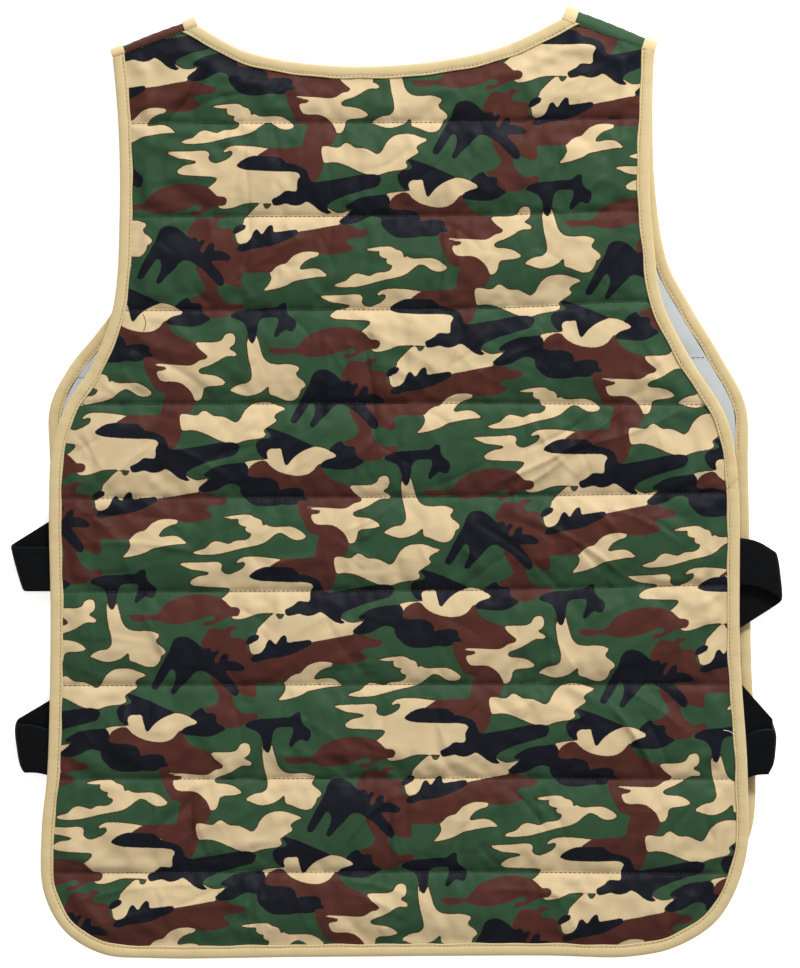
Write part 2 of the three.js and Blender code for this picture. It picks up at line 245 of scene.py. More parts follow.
tanBlots = {
    "wing": [
        (274, 616), (277, 616.5), (279, 620), (282, 620.5), (284.5, 618), (287, 614), (300, 611),
        (321, 609), (340, 618), (346, 621.5), (352, 623.5), (358, 623), (364, 621.5), (360, 626),
        (352, 636), (330, 641), (300, 646), (270, 655), (253, 655.5), (250.5, 649), (250, 644),
        (251, 641), (255, 638.5), (258, 634), (258.5, 631), (264, 625), (270, 619),
    ],
    "flame": [
        (310, 252), (316, 253), (319, 255), (318, 258), (312, 260), (306, 263), (302, 267), (300, 271),
        (303, 272), (308, 271), (315, 270.5), (320, 271.5), (325, 275), (328, 278), (320, 278.5),
        (310, 280), (300, 282), (294, 283.5), (288, 287), (280, 290), (272, 292), (264, 293),
        (267, 290), (270, 286), (272, 281), (271, 277), (270, 274.5), (273, 273), (277, 269),
        (281, 267), (286, 266), (290, 262), (294, 258), (299, 255), (304, 253),
    ],
    "antler": [
        (365, 251), (370, 250), (380, 248.5), (388, 248), (392, 248.5), (396, 251), (401, 252.5),
        (403, 255), (404, 259), (407, 257.5), (410, 259), (415, 260), (425, 259.5), (432, 259.5),
        (438, 261.5), (444, 265.5), (447, 269), (444, 271.5), (438, 272.5), (432, 271), (425, 266.5),
        (420, 265.5), (414, 269), (408, 274), (402, 277), (395, 279), (385, 281), (372, 284.5),
        (360, 287.5), (350, 288.5), (340, 288.5), (334, 287), (340, 284.5), (347, 282), (352, 277),
        (357, 275), (363, 276), (370, 277.5), (375, 275), (378, 274), (386, 273.5), (391, 271),
        (392.5, 267), (391, 266), (388, 265), (386.5, 262), (388, 260.5), (385, 259.5), (381, 258),
        (379.5, 255), (380, 252.5), (375, 252.5), (368, 252),
    ],
    "swirl": [
        (320, 298), (330, 297), (345, 296.5), (360, 296), (363, 299), (362, 303), (364.5, 306.5),
        (370, 308), (376, 306), (382, 303), (386, 299), (386, 296), (384, 295), (380, 296),
        (377, 296.5), (380, 293), (384, 291), (390, 290), (400, 290), (412, 291), (425, 293.5),
        (436, 300), (459, 320), (456, 334), (443, 343), (428, 346.5), (416, 346), (407, 346),
        (398, 347), (390, 350), (383, 352), (376, 352.5), (373, 351), (370, 345), (360, 334),
        (363, 332), (366, 329.5), (369, 327), (371, 323), (368, 321.5), (355, 321), (345, 320.5),
        (334, 319.5), (331, 317), (334, 313.5), (340, 310.5), (348, 309), (351, 307), (347, 305.5),
        (340, 304.5), (332, 303.5), (326, 301),
    ],
    "moon": [
        (246.5, 464.5), (250, 463.3), (258, 462), (266, 461.5), (269, 460), (268, 455), (269, 452),
        (272, 450.5), (282, 450.3), (283, 454), (284.5, 460), (287, 466), (288.5, 466.5), (291, 463.5),
        (295, 459), (302, 453.5), (308, 450.5), (315, 448), (321, 448.3), (327, 450), (332, 452.5),
        (336, 455), (337.5, 457), (335, 458.5), (330, 460), (325, 462), (322, 465), (316, 474),
        (300, 481), (280, 477), (268, 469), (252, 472), (248, 469),
    ],
    "boot": [
        (248, 338), (249, 341), (251, 344.5), (253.5, 346), (256, 342.5), (257.5, 337.5), (259, 343),
        (261, 350), (263, 357), (266, 362), (271, 365.5), (280, 366.5), (288, 366), (295, 367),
        (300, 369.5), (299.5, 372), (297, 374.5), (298, 378), (302, 381), (306, 385), (306, 388),
        (302, 390.5), (301, 394), (299, 398), (295, 401.5), (288, 402), (282, 400), (276, 397.5),
        (271, 396), (270, 392), (270, 389.5), (268.5, 388.5), (266, 391), (262, 394), (256, 396.5),
        (248, 398), (240, 396.5), (235, 394.5), (231, 393), (236, 389), (242, 386.5), (248, 385.5),
        (252, 382), (253, 378), (252, 370), (250, 362), (248.5, 352), (248, 345),
    ],
    "spade": [
        (336, 558), (341, 557.5), (347, 558.7), (353, 558.5), (357, 555), (360, 554), (364, 556),
        (369, 559), (378, 559.5), (385, 562.5), (390, 565), (393, 564.3), (396, 561), (399, 555),
        (403, 550), (409, 546), (418, 544.5), (426, 545), (433, 547.5), (441, 550.5), (436, 553),
        (431, 556), (429.5, 559), (432, 562.5), (426, 567), (419, 572.5), (421, 577), (417, 580),
        (408, 581.5), (400, 583), (393, 585.5), (385, 586), (376, 583.5), (368, 580), (360, 576.5),
        (352, 574), (345, 573.5), (338, 574), (336, 569), (335, 562),
    ],
    "dove": [
        (308, 508), (318, 508.3), (330, 508.8), (345, 509.3), (350, 507.5), (355, 504), (361, 502.5),
        (363, 500), (360, 497), (355, 493), (351, 488), (352, 486.5), (358, 486), (366, 486),
        (374, 485), (378, 482.5), (380, 478.5), (384, 476.5), (388, 477), (390, 480), (390, 485),
        (388, 488.5), (384, 491), (386, 493), (390, 495), (392, 498), (389, 499), (383, 499),
        (378, 501), (372, 505), (365, 508.5), (358, 511), (354, 513.5), (354, 515.5), (357, 517.5),
        (363, 518), (370, 519), (376, 521.5), (381, 526), (377, 528), (370, 529), (362, 530),
        (359, 532), (358, 537), (356, 542), (353, 544), (350, 543.5), (348, 540), (340, 532),
        (330, 528), (318, 527), (312, 520), (312, 515.5), (318, 514.5), (321.5, 513), (320.5, 511.7),
        (313, 510.3),
    ],
}
brownBlots = {
    "body": [
        (342, 381), (342, 376), (343.5, 372.5), (346, 369), (348, 365), (352, 362), (357, 361.8),
        (362, 362.5), (366, 363), (367.5, 361), (369, 359.5), (375, 359.7), (380, 360), (378, 361.5),
        (374, 363.5), (371.5, 366), (371, 369), (373, 371), (380, 371.5), (386, 373), (388, 376),
        (387.5, 380), (388, 384), (391, 386), (394, 388), (394, 391), (420, 388), (450, 375),
        (465, 372), (480, 369), (492, 367), (505, 367), (512, 370), (518, 371), (523, 373.5),
        (522, 376.5), (517, 379), (508, 380), (502, 382), (501, 384), (504, 386.5), (508, 389),
        (506, 392), (500, 394.5), (490, 396.5), (478, 396.5), (470, 394.5), (464, 394), (457, 394.7),
        (452, 396.5), (447, 399), (443, 402.5), (440, 404.5), (436, 407), (431, 409.5), (428, 412.5),
        (425, 415.5), (415, 415.5), (405, 416), (398, 416), (396, 418), (396, 422), (397, 426.5),
        (395, 430), (391, 430.5), (386, 429), (380, 427), (374, 427), (372, 431), (374, 437),
        (377, 442), (382, 446), (388, 447.5), (394, 446), (398, 447.5), (398.5, 450), (396, 453.5),
        (391, 455.5), (384, 457), (382, 460), (376, 461), (368, 461.8), (362, 460), (356, 455),
        (350, 447), (345, 443.5), (346, 441.5), (352, 440), (357, 437), (360, 432), (358, 427),
        (354, 420), (351, 413), (351, 409), (355, 400), (348, 386),
    ],
    "trunk": [
        (250, 471), (253, 467), (258, 464), (264, 462.3), (268, 463.5), (272, 468), (280, 473),
        (290, 476), (300, 477), (308, 475.5), (314, 472), (318, 467), (321, 464.5), (323, 468),
        (326, 474), (332, 479.5), (339, 482.7), (347, 485.3), (351, 488), (355, 493), (360, 497),
        (363, 500), (361, 502.5), (355, 504), (350, 507.5), (345, 509.3), (330, 508.8), (318, 508.3),
        (308, 508), (313, 510.3), (321, 511.5), (322, 513), (318, 515), (312.5, 516), (313, 520),
        (316, 524.5), (321, 525.7), (328, 525.5), (335, 526.5), (341, 530), (346, 535), (349, 541),
        (350, 546), (348, 552), (344, 557), (340, 557.5), (336, 558), (335, 562), (336, 569),
        (337, 574), (336, 581), (333, 588), (330, 592), (325, 594), (315, 585), (300, 574), (285, 571),
        (271, 568.5), (276, 564.5), (282, 561), (290, 560), (300, 559.5), (310, 559), (316, 557),
        (317, 552), (318, 546), (319, 542), (321, 538.5), (318, 536), (312, 535), (309, 532),
        (306, 526), (303, 520), (300, 513), (299, 507), (297, 503.5), (300, 498), (295, 492),
        (275, 490), (262, 486), (249, 480),
    ],
    "turtle": [
        (269, 351), (275, 350), (285, 350), (295, 350), (299, 348), (303, 343), (309, 337), (317, 333),
        (327, 330), (337, 328.5), (347, 328.5), (355, 330), (362, 332), (368, 337), (372, 340.5),
        (376, 340.5), (380, 342), (381, 345), (379, 349), (375, 350), (370, 350.5), (364, 353),
        (357, 357), (350, 359.5), (346, 360), (344, 358.5), (345, 356.5), (348, 355), (353, 355),
        (356, 353), (356, 350.5), (352, 349.5), (347, 351), (340, 353.5), (330, 356.5), (320, 358.5),
        (310, 358.5), (302, 356.5), (295, 355), (288, 356), (280, 357), (273, 355),
    ],
}
blackBlots = {
    "leaf": [
        (237, 252), (241, 247.5), (247, 245.5), (251, 241), (254, 234), (257, 232), (260, 235),
        (262, 237), (265, 233), (268, 229), (271, 227.5), (273, 229), (274, 234.5), (280, 234),
        (288, 233), (295, 232), (298, 233), (298, 236), (294, 239), (286, 243), (276, 247.5),
        (262, 250.5), (250, 252.5), (243, 255), (238, 254),
    ],
    "fish": [
        (250, 578.5), (254, 574), (260, 570.5), (266, 568.5), (272, 568), (280, 568.5), (290, 568.5),
        (294, 569.5), (297, 572), (302, 575), (310, 577), (317, 579.5), (321, 583), (323, 588),
        (325, 592.5), (330, 593.5), (340, 592), (352, 590), (362, 588), (372, 586), (380, 585),
        (388, 585), (393, 586.5), (395, 589), (394, 593), (391, 597), (386, 599), (378, 601),
        (370, 603.5), (361, 606), (354, 609), (347, 612), (343, 615), (341.5, 618), (343, 621),
        (346, 623), (343, 624.5), (338, 623.5), (333, 621), (328, 617), (321, 613), (316, 615.5),
        (310, 617), (305, 616.5), (300, 615), (294, 616.5), (288, 617), (286, 614), (286, 611),
        (290, 609), (295, 606), (299, 602.5), (305, 602.5), (310, 602.5), (311, 600), (311, 594),
        (312.5, 590), (314, 588), (312, 585), (305, 583.5), (290, 583.5), (270, 583), (258, 582),
        (252, 580),
    ],
    "horse": [
        (310, 386), (312, 380), (314, 375.5), (317, 372.5), (321, 371), (327, 371), (332, 373),
        (337, 376.5), (341, 380), (344, 382.5), (348, 382), (351, 382), (353, 386), (355, 385),
        (357, 384), (359, 384.5), (359.5, 386), (358, 388), (356, 391.5), (355, 395), (356.5, 397),
        (358.5, 396.5), (360, 394), (362, 390), (364.5, 387.5), (367, 387), (369, 388), (369, 391),
        (368.5, 394.5), (373, 394.5), (378, 395.5), (382, 397.5), (384, 399.5), (385.5, 401),
        (384, 404), (378, 404.5), (370, 404.5), (366, 405), (369, 409.5), (373, 414), (377, 419),
        (379, 424), (379, 427.5), (376, 430), (372, 428), (367, 423), (362, 418), (358, 414),
        (353, 410.5), (349, 408), (345, 405.5), (340, 405), (336, 406.5), (333, 409.5), (329, 414),
        (324, 419), (319, 424), (316, 428), (313, 429), (311, 427.5), (312, 423), (314.5, 418),
        (316, 412), (315.5, 407), (314, 404.5), (312, 404), (310, 405.5), (308, 409), (304, 415),
        (300, 421), (297, 424.5), (293.5, 424.5), (291.5, 422.5), (293, 418), (296, 412), (299, 406),
        (301, 402), (304, 397), (307, 391),
    ],
    "dog": [
        (231, 318), (234, 315.5), (240, 313), (248, 311.5), (258, 311), (268, 310), (276, 309.5),
        (281, 306), (284, 304.5), (287, 306), (287, 310), (288, 314.5), (292, 319), (296, 322),
        (297, 325.5), (296, 330), (294, 333), (290, 333), (287, 331.5), (284, 333), (280, 337),
        (277, 339.5), (275, 337.5), (276, 333), (278, 328), (279, 323), (278, 320), (272, 319.5),
        (265, 320), (261, 322), (259, 326), (258, 332), (257, 338), (256, 342), (254, 345.5),
        (251, 344), (249, 339), (248, 333), (246, 328), (243, 324.5), (237, 322), (232, 320),
    ],
    "tooth": [
        (267, 431), (270, 429.5), (275, 431), (283, 433.5), (292, 437), (300, 440.5), (308, 444),
        (315, 447.5), (308, 450.5), (302, 453.5), (297, 457), (293, 461), (290, 465), (288, 467),
        (286, 465.5), (284.5, 460), (283, 454), (282, 450.3), (277, 450.5), (272, 450.5), (269, 452.5),
        (268, 456), (269.5, 461), (267, 461), (262, 458), (258.5, 453), (257, 448), (258, 444),
        (262, 441), (268, 440), (272, 438), (270, 435),
    ],
    "bird": [
        (321, 466), (325, 462.5), (330, 460), (336, 458.5), (337.5, 456.5), (335, 454), (330, 451.5),
        (333, 447.5), (338, 443.5), (343, 442), (345, 445), (349, 447), (354, 447), (357, 450),
        (356.5, 454), (359, 457.5), (363, 460), (366, 462), (362, 465), (356, 468.5), (349, 470.5),
        (340, 470.5), (330, 469.5), (323, 468.5),
    ],
    "arm": [
        (199, 492), (203, 487.5), (209, 483), (212, 480), (206, 479.5), (205, 477.5), (210, 473.5),
        (218, 469), (228, 466.5), (238, 465.5), (246, 465), (249, 468), (250, 472), (249, 477),
        (256, 479.5), (265, 479), (273, 480.5), (278, 483), (280, 487), (281, 491), (285, 490),
        (297, 489), (303, 490.5), (305, 493), (305, 497), (309, 500), (306, 502), (300, 502),
        (298, 505), (292, 506.5), (283, 506), (275, 507.5), (265, 508), (256, 507), (250, 504),
        (246, 500), (243, 497), (241, 492), (241, 489), (238, 487), (232, 486), (226, 488), (219, 492),
        (212, 494), (204, 495),
    ],
    "oval": [
        (387, 377), (388, 372.5), (392, 369), (397, 367.5), (400, 369), (399, 372.5), (395, 375),
        (390, 377.5),
    ],
}

camouflage = {
    "step": 0.7,  # mm, one chart step
    "zero": (396.6, 484.2),  # chart place of the vest's origin
    "repeats": ((154.17, 140.24), (14.26, 408.85)),  # chart steps from a blot to its next copies
    "reach": 6.0,  # mm, how far from an outline the distance is kept
    "half": (210, 280),  # mm, the cloth's half width and half length, for the next rows
    "bow": (2.4, 1.0), "sway": 1.9,  # mm, how far rows bow up at the sides and ends, and sway at the ends
    "tilt": -1.0, "twist": -0.5,  # mm up at the right side, and at the corners
    "shift": (-1.0, -0.9),  # mm
    "copies": (6, 3),  # copies of the repeat to each side of the first
    "inks": {"tan": tanBlots, "brown": brownBlots, "black": blackBlots},
}


def printInks(mesh):
    # every corner learns how deep it lies in each ink, and the cloth's material draws the outlines from that
    points = np.zeros(len(mesh.vertices) * 3)
    mesh.vertices.foreach_get("co", points)
    points = points.reshape(-1, 3)[:, :2] / mm
    side, end = (points / camouflage["half"]).T
    sway = camouflage["sway"] * end**2 + camouflage["shift"][0]
    rise = (camouflage["bow"][0] * side**2 + camouflage["bow"][1] * end**2 + camouflage["tilt"] * side
            + camouflage["twist"] * side * end + camouflage["shift"][1])
    points = points - np.column_stack([sway, rise])
    step, reach, zero = camouflage["step"], camouflage["reach"], np.array(camouflage["zero"])
    low, high = points.min(0) - reach, points.max(0) + reach
    across, down = (np.array(repeat) for repeat in camouflage["repeats"])
    for ink, blots in camouflage["inks"].items():
        depth = np.full(len(points), -reach)
        for rows in blots.values():
            outline = smoothLine(rows, 3, closed=True) - zero
            for i in range(-camouflage["copies"][0], camouflage["copies"][0] + 1):
                for j in range(-camouflage["copies"][1], camouflage["copies"][1] + 1):
                    loop = (outline + i * across + j * down) * (step, -step)
                    if (loop.max(0) > low).all() and (loop.min(0) < high).all():
                        depth = np.maximum(depth, insideBy(points, loop, reach))
        layer = mesh.attributes.new(ink, "FLOAT", "POINT")
        layer.data.foreach_set("value", depth.astype(np.float32))
    print("printed:", mesh.name)


# materials

# printed polyester-cotton, plain weave: matt with a soft sheen on the folds, and inks that soak in,
# so each blot has a slightly ragged edge and a fine dark line where tan meets the next ink
printedCloth, tree, bsdf = newMaterial(
    "printed polyester cotton", Roughness=0.54, Specular_IOR_Level=0.1, IOR=1.46)
clothLook = {
    "green": "#2a4530", "greenWorn": "#365439", "tan": "#cbb289", "tanWorn": "#d8c39b",
    "line": "#40301a", "brown": "#472620", "brownWorn": "#583027", "black": "#101219", "blackWorn": "#191c25",
    "ragged": 0.3, "edge": 0.35, "lineWidth": 0.75, "soak": 1.6, "cloud": 14,  # mm
    "thread": 1.1,  # mm, four times the real thread spacing so that it shows
    "fold": 46, "foldDepth": 3.0, "foldSlant": -35, "foldStretch": 2.6,  # mm and degrees, fine folds
    "weaveDepth": 0.03,  # of the folds'
}
where = addNode(tree, "ShaderNodeTexCoord")
cloudy = addNode(tree, "ShaderNodeTexNoise", [("Vector", where.outputs["Object"])],
                 sockets={"Scale": 1 / (clothLook["cloud"] * mm), "Detail": 4.0, "Roughness": 0.6})
soak = addNode(tree, "ShaderNodeTexNoise", [("Vector", where.outputs["Object"])],
               sockets={"Scale": 1 / (clothLook["soak"] * mm), "Detail": 2.0})
ragged = addNode(tree, "ShaderNodeMath", [(0, soak.outputs["Fac"])], operation="MULTIPLY_ADD",
                 sockets={1: 2 * clothLook["ragged"], 2: -clothLook["ragged"]})


def inkShare(ink, spread):
    # 1 inside the ink and 0 outside it, going over within the width of a printed edge
    depth = addNode(tree, "ShaderNodeAttribute", attribute_name=ink)
    moved = addNode(tree, "ShaderNodeMath", [(0, depth.outputs["Fac"]), (1, ragged.outputs[0])],
                    operation="ADD")
    return addNode(tree, "ShaderNodeMath", [(0, moved.outputs[0])], operation="MULTIPLY_ADD", use_clamp=True,
                   sockets={1: 1 / clothLook["edge"], 2: 0.5 + spread / clothLook["edge"]}).outputs[0]


def inkTone(fresh, worn):
    return addNode(tree, "ShaderNodeMix", [(0, cloudy.outputs["Fac"])], data_type="RGBA",
                   sockets={6: hexColour(clothLook[fresh]), 7: hexColour(clothLook[worn])}).outputs[2]


colour = inkTone("green", "greenWorn")
for share, tone in (
    (inkShare("tan", clothLook["lineWidth"]), inkTone("line", "line")),
    (inkShare("tan", 0), inkTone("tan", "tanWorn")),
    (inkShare("brown", 0), inkTone("brown", "brownWorn")),
    (inkShare("black", 0), inkTone("black", "blackWorn")),
):
    colour = addNode(tree, "ShaderNodeMix", [(0, share), (6, colour), (7, tone)], data_type="RGBA").outputs[2]
warp = addNode(tree, "ShaderNodeTexWave", [("Vector", where.outputs["Object"])], bands_direction="X",
               sockets={"Scale": waveGap / (clothLook["thread"] * mm), "Distortion": 0.6, "Detail": 1.0})
weft = addNode(tree, "ShaderNodeTexWave", [("Vector", where.outputs["Object"])], bands_direction="Y",
               sockets={"Scale": waveGap / (clothLook["thread"] * mm), "Distortion": 0.6, "Detail": 1.0})
weave = addNode(tree, "ShaderNodeMath", [(0, warp.outputs["Fac"]), (1, weft.outputs["Fac"])],
                operation="MULTIPLY")
weaveShade = addNode(tree, "ShaderNodeMix", [(0, weave.outputs[0])], data_type="RGBA",
                     sockets={6: hexColour("#f9f9f9"), 7: hexColour("#ffffff")})
shaded = addNode(tree, "ShaderNodeMix", [(6, colour), (7, weaveShade.outputs[2])], data_type="RGBA",
                 blend_type="MULTIPLY", sockets={0: 1.0})
tree.links.new(shaded.outputs[2], bsdf.inputs["Base Color"])
slanted = addNode(tree, "ShaderNodeMapping", [("Vector", where.outputs["Object"])],
                  sockets={"Rotation": (0, 0, math.radians(clothLook["foldSlant"])),
                           "Scale": (1.0, clothLook["foldStretch"], 1.0)})
creased = addNode(tree, "ShaderNodeTexNoise", [("Vector", slanted.outputs["Vector"])],
                  noise_type="RIDGED_MULTIFRACTAL", normalize=True,
                  sockets={"Scale": 1 / (clothLook["fold"] * mm), "Detail": 3.0, "Roughness": 0.4,
                           "Distortion": 0.5})
relief = addNode(tree, "ShaderNodeMath", [(0, weave.outputs[0]), (2, creased.outputs["Fac"])],
                 operation="MULTIPLY_ADD", sockets={1: clothLook["weaveDepth"]})
bump = addNode(tree, "ShaderNodeBump", [("Height", relief.outputs[0])],
               sockets={"Strength": 0.6, "Distance": clothLook["foldDepth"] * mm})
tree.links.new(bump.outputs["Normal"], bsdf.inputs["Normal"])
print("camouflage cloth is mixed")

# cotton bias tape, woven plain and cut at 45 degrees: dry and matt, with slanting threads and pressed folds
tapeLook = {"thread": 1.3, "cloud": 22, "depth": 0.25}  # mm, threads three times as coarse so that they show
biasTape, tree, bsdf = newMaterial("cotton bias tape", Roughness=0.8, Specular_IOR_Level=0.2, IOR=1.46)
where = addNode(tree, "ShaderNodeTexCoord")
slant = addNode(tree, "ShaderNodeMapping", [("Vector", where.outputs["UV"])],
                sockets={"Rotation": (0, 0, math.radians(45))})
warp = addNode(tree, "ShaderNodeTexWave", [("Vector", slant.outputs["Vector"])], bands_direction="X",
               sockets={"Scale": waveGap / (tapeLook["thread"] * mm), "Distortion": 0.4})
weft = addNode(tree, "ShaderNodeTexWave", [("Vector", slant.outputs["Vector"])], bands_direction="Y",
               sockets={"Scale": waveGap / (tapeLook["thread"] * mm), "Distortion": 0.4})
weave = addNode(tree, "ShaderNodeMath", [(0, warp.outputs["Fac"]), (1, weft.outputs["Fac"])],
                operation="MULTIPLY")
cloudy = addNode(tree, "ShaderNodeTexNoise", [("Vector", where.outputs["Object"])],
                 sockets={"Scale": 1 / (tapeLook["cloud"] * mm), "Detail": 4.0, "Roughness": 0.6})
tone = addNode(tree, "ShaderNodeMix", [(0, cloudy.outputs["Fac"])], data_type="RGBA",
               sockets={6: hexColour("#cfb98b"), 7: hexColour("#e2d0a6")})
threads = addNode(tree, "ShaderNodeMix", [(0, weave.outputs[0])], data_type="RGBA",
                  sockets={6: hexColour("#efebe2"), 7: hexColour("#ffffff")})
shaded = addNode(tree, "ShaderNodeMix", [(6, tone.outputs[2]), (7, threads.outputs[2])], data_type="RGBA",
                 blend_type="MULTIPLY", sockets={0: 1.0})
tree.links.new(shaded.outputs[2], bsdf.inputs["Base Color"])
bump = addNode(tree, "ShaderNodeBump", [("Height", weave.outputs[0])],
               sockets={"Strength": 0.3, "Distance": tapeLook["depth"] * mm})
tree.links.new(bump.outputs["Normal"], bsdf.inputs["Normal"])

# brushed polyester lining: a little bluish and fluffy, so it is very matt; its own pale colour is
# painted darker here, as painted shade for the shadow it lies in under the back panel's edges
liningLook = {"nap": 1.4, "depth": 0.4}  # mm
liningCloth, tree, bsdf = newMaterial(
    "brushed polyester lining", Roughness=0.95, Specular_IOR_Level=0.1, IOR=1.46)
where = addNode(tree, "ShaderNodeTexCoord")
nap = addNode(tree, "ShaderNodeTexNoise", [("Vector", where.outputs["Object"])],
              sockets={"Scale": 1 / (liningLook["nap"] * mm), "Detail": 5.0, "Roughness": 0.65})
# the nap mixes the lining's own pale blue-grey with a darker grey that is painted shade
tone = addNode(tree, "ShaderNodeMix", [(0, nap.outputs["Fac"])], data_type="RGBA",
               sockets={6: hexColour("#a9b1b5"), 7: hexColour("#c5c9c9")})
tree.links.new(tone.outputs[2], bsdf.inputs["Base Color"])
bump = addNode(tree, "ShaderNodeBump", [("Height", nap.outputs["Fac"])],
               sockets={"Strength": 0.4, "Distance": liningLook["depth"] * mm})
tree.links.new(bump.outputs["Normal"], bsdf.inputs["Normal"])

# knitted elastic webbing: rubber cores under black yarn, ribbed along its length, with a dull shine on
# each rib
webbingLook = {"rib": 1.5, "pick": 1.1, "depth": 0.22}  # mm
webbing, tree, bsdf = newMaterial(
    "knitted elastic webbing", Roughness=0.55, Specular_IOR_Level=0.09, IOR=1.5)
where = addNode(tree, "ShaderNodeTexCoord")
ribs = addNode(tree, "ShaderNodeTexWave", [("Vector", where.outputs["UV"])], bands_direction="Y",
               sockets={"Scale": waveGap / (webbingLook["rib"] * mm), "Distortion": 0.15})
picks = addNode(tree, "ShaderNodeTexWave", [("Vector", where.outputs["UV"])], bands_direction="X",
                sockets={"Scale": waveGap / (webbingLook["pick"] * mm), "Distortion": 0.5})
knit = addNode(tree, "ShaderNodeMath", [(0, picks.outputs["Fac"]), (2, ribs.outputs["Fac"])],
               operation="MULTIPLY_ADD", sockets={1: 0.35})
tone = addNode(tree, "ShaderNodeMix", [(0, knit.outputs[0])], data_type="RGBA",
               sockets={6: hexColour("#030405"), 7: hexColour("#07090d")})
tree.links.new(tone.outputs[2], bsdf.inputs["Base Color"])
bump = addNode(tree, "ShaderNodeBump", [("Height", knit.outputs[0])],
               sockets={"Strength": 0.5, "Distance": webbingLook["depth"] * mm})
tree.links.new(bump.outputs["Normal"], bsdf.inputs["Normal"])


def threadMaterial(name, dark, light):
    # spun polyester thread: a twisted yarn, so it goes from dark to light along its own length
    material, tree, bsdf = newMaterial(name, Roughness=0.55, IOR=1.46)
    where = addNode(tree, "ShaderNodeTexCoord")
    twist = addNode(tree, "ShaderNodeTexNoise", [("Vector", where.outputs["Object"])],
                    sockets={"Scale": 1 / (1.2 * mm), "Detail": 2.0})
    tone = addNode(tree, "ShaderNodeMix", [(0, twist.outputs["Fac"])], data_type="RGBA",
                   sockets={6: hexColour(dark), 7: hexColour(light)})
    tree.links.new(tone.outputs[2], bsdf.inputs["Base Color"])
    return material


tapeThread = threadMaterial("beige sewing thread", "#7d6136", "#a98b57")
quiltThread = threadMaterial("brown sewing thread", "#150f0a", "#2f2015")
paleThread = threadMaterial("bare white sewing thread", "#d9d9d2", "#f6f6f2")
print("tape, lining, webbing and threads are mixed")


# outlines in mm along the outer fold of the binding, anticlockwise, as the solids have them
back = {
    "neck": [(115.5, 325.2), (73.5, 305.6), (20, 294.6), (-47, 292.6), (-105, 302.1), (-139.7, 320.3)],
    "edge": [
        (-199.5, 297.9), (-195.4, 251.2), (-194.3, 189.6), (-198.8, 123.6), (-214.2, 81.6), (-231.5, 54.5),
        (-241.6, 24), (-243.8, -20), (-242.7, -95), (-245, -202.9), (-249, -244), (-247.6, -286),
        (-233, -314), (-206.5, -330.2), (-170.8, -333.2), (-64, -332.4), (100, -331.4), (164, -332),
        (197, -324.6), (226, -304.5), (244.2, -264), (245.7, -205), (240.4, -120), (238.9, 2),
        (231.6, 43.8), (205, 88), (186, 127), (179.8, 170), (177, 212), (180.6, 301.4),
    ],
    "lineY": -10.2, "tilt": 0.2,  # the middle quilt line's y at x 0, and the lines' slope in degrees
    "bends": (-2.0, -1.4, -0.7, 3.0, 1.8, -1.7, 6.7, 3.9, 3.2),  # mm each line rises at right, lowest first
}
front = {
    "neck": [
        (115.5, 325.2), (108, 292), (84, 250), (36, 223), (-16, 217), (-68, 226), (-110, 254), (-133, 293),
        (-139.7, 320.3),
    ],
    "edge": [
        (-199.5, 297.9), (-194, 250), (-190, 195), (-197.7, 127), (-211, 106.5), (-231, 81.6), (-244.5, 54),
        (-245, 24), (-240, -40), (-236, -120), (-238, -205), (-238, -246), (-226, -276), (-196, -294),
        (-150, -298), (0, -295), (150, -291), (205, -287), (236, -272), (250, -245), (252.7, -201.3),
        (249.6, -117.3), (247.6, 8.8), (245.6, 55), (229, 87.5), (206, 126), (190.8, 155),
        (181.7, 211.8), (180.6, 301.4),
    ],
    "lineY": 81.1, "tilt": 1.85, "bends": (0,) * 9,
}
quilt = {
    "pitch": 65.6, "crown": 6.4, "stitchTop": 3.4, "stitchBottom": 1.3,  # mm above the panel's underside
    "hemLow": 1.5, "hemHigh": 3.3, "taper": 14, "tapeWidth": 9,
    "body": 16, "shoulder": 13, "drop": (200, 300),  # levels of the back's underside, and where it sinks
    "lines": 4, "bent": (20, 230),  # lines above and below the middle one, and between which x they bend
    "sheet": (560, 12),  # mm across and channels, more than any panel needs
    "most": 7, "across": (-260, 260),  # the same for stitches: lines up and down, and from x to x
    "boxy": 6, "pinch": 5,  # how full a channel is, and mm over which the underside dips at a line
}


def panelLoop(panel, inset):
    # the panel's outline, moved inwards but still reaching the shoulder seams
    runs = []
    for rows, other in ((panel["neck"], panel["edge"]), (panel["edge"], panel["neck"])):
        points, tangents, stations = evenLine(rows, 2.5)
        runs.append(points + inset * np.column_stack([-tangents[:, 1], tangents[:, 0]]))
        for at, end in ((0, -1), (-1, 0)):
            seam = np.subtract(other[end], rows[at])
            corner = rows[at] + seam * 1.05 * inset / np.linalg.norm(seam)
            runs[-1] = np.vstack([corner, runs[-1]] if at == 0 else [runs[-1], corner])
    return np.vstack(runs)


def backLevel(y):
    return quilt["body"] + (quilt["shoulder"] - quilt["body"]) * smoothStep(y, *quilt["drop"])


def lineY(panel, x, number):
    # how high a quilt line lies at x; a number with a fraction lies between two lines
    slope = math.tan(math.radians(panel["tilt"]))
    bend = np.interp(number, range(-quilt["lines"], quilt["lines"] + 1), panel["bends"])
    return panel["lineY"] + number * quilt["pitch"] + x * slope + bend * smoothStep(x, *quilt["bent"])


def quiltNumber(panel, points):
    # the same the other way round: the number, with its fraction, of the line through each point
    number = np.zeros(len(points))
    for _ in range(4):
        number = number + (points[:, 1] - lineY(panel, points[:, 0], number)) / quilt["pitch"]
    return number


def offLine(panel, points):
    # mm from the nearest quilt line
    number = quiltNumber(panel, points)
    return np.abs(number - np.round(number)) * quilt["pitch"]


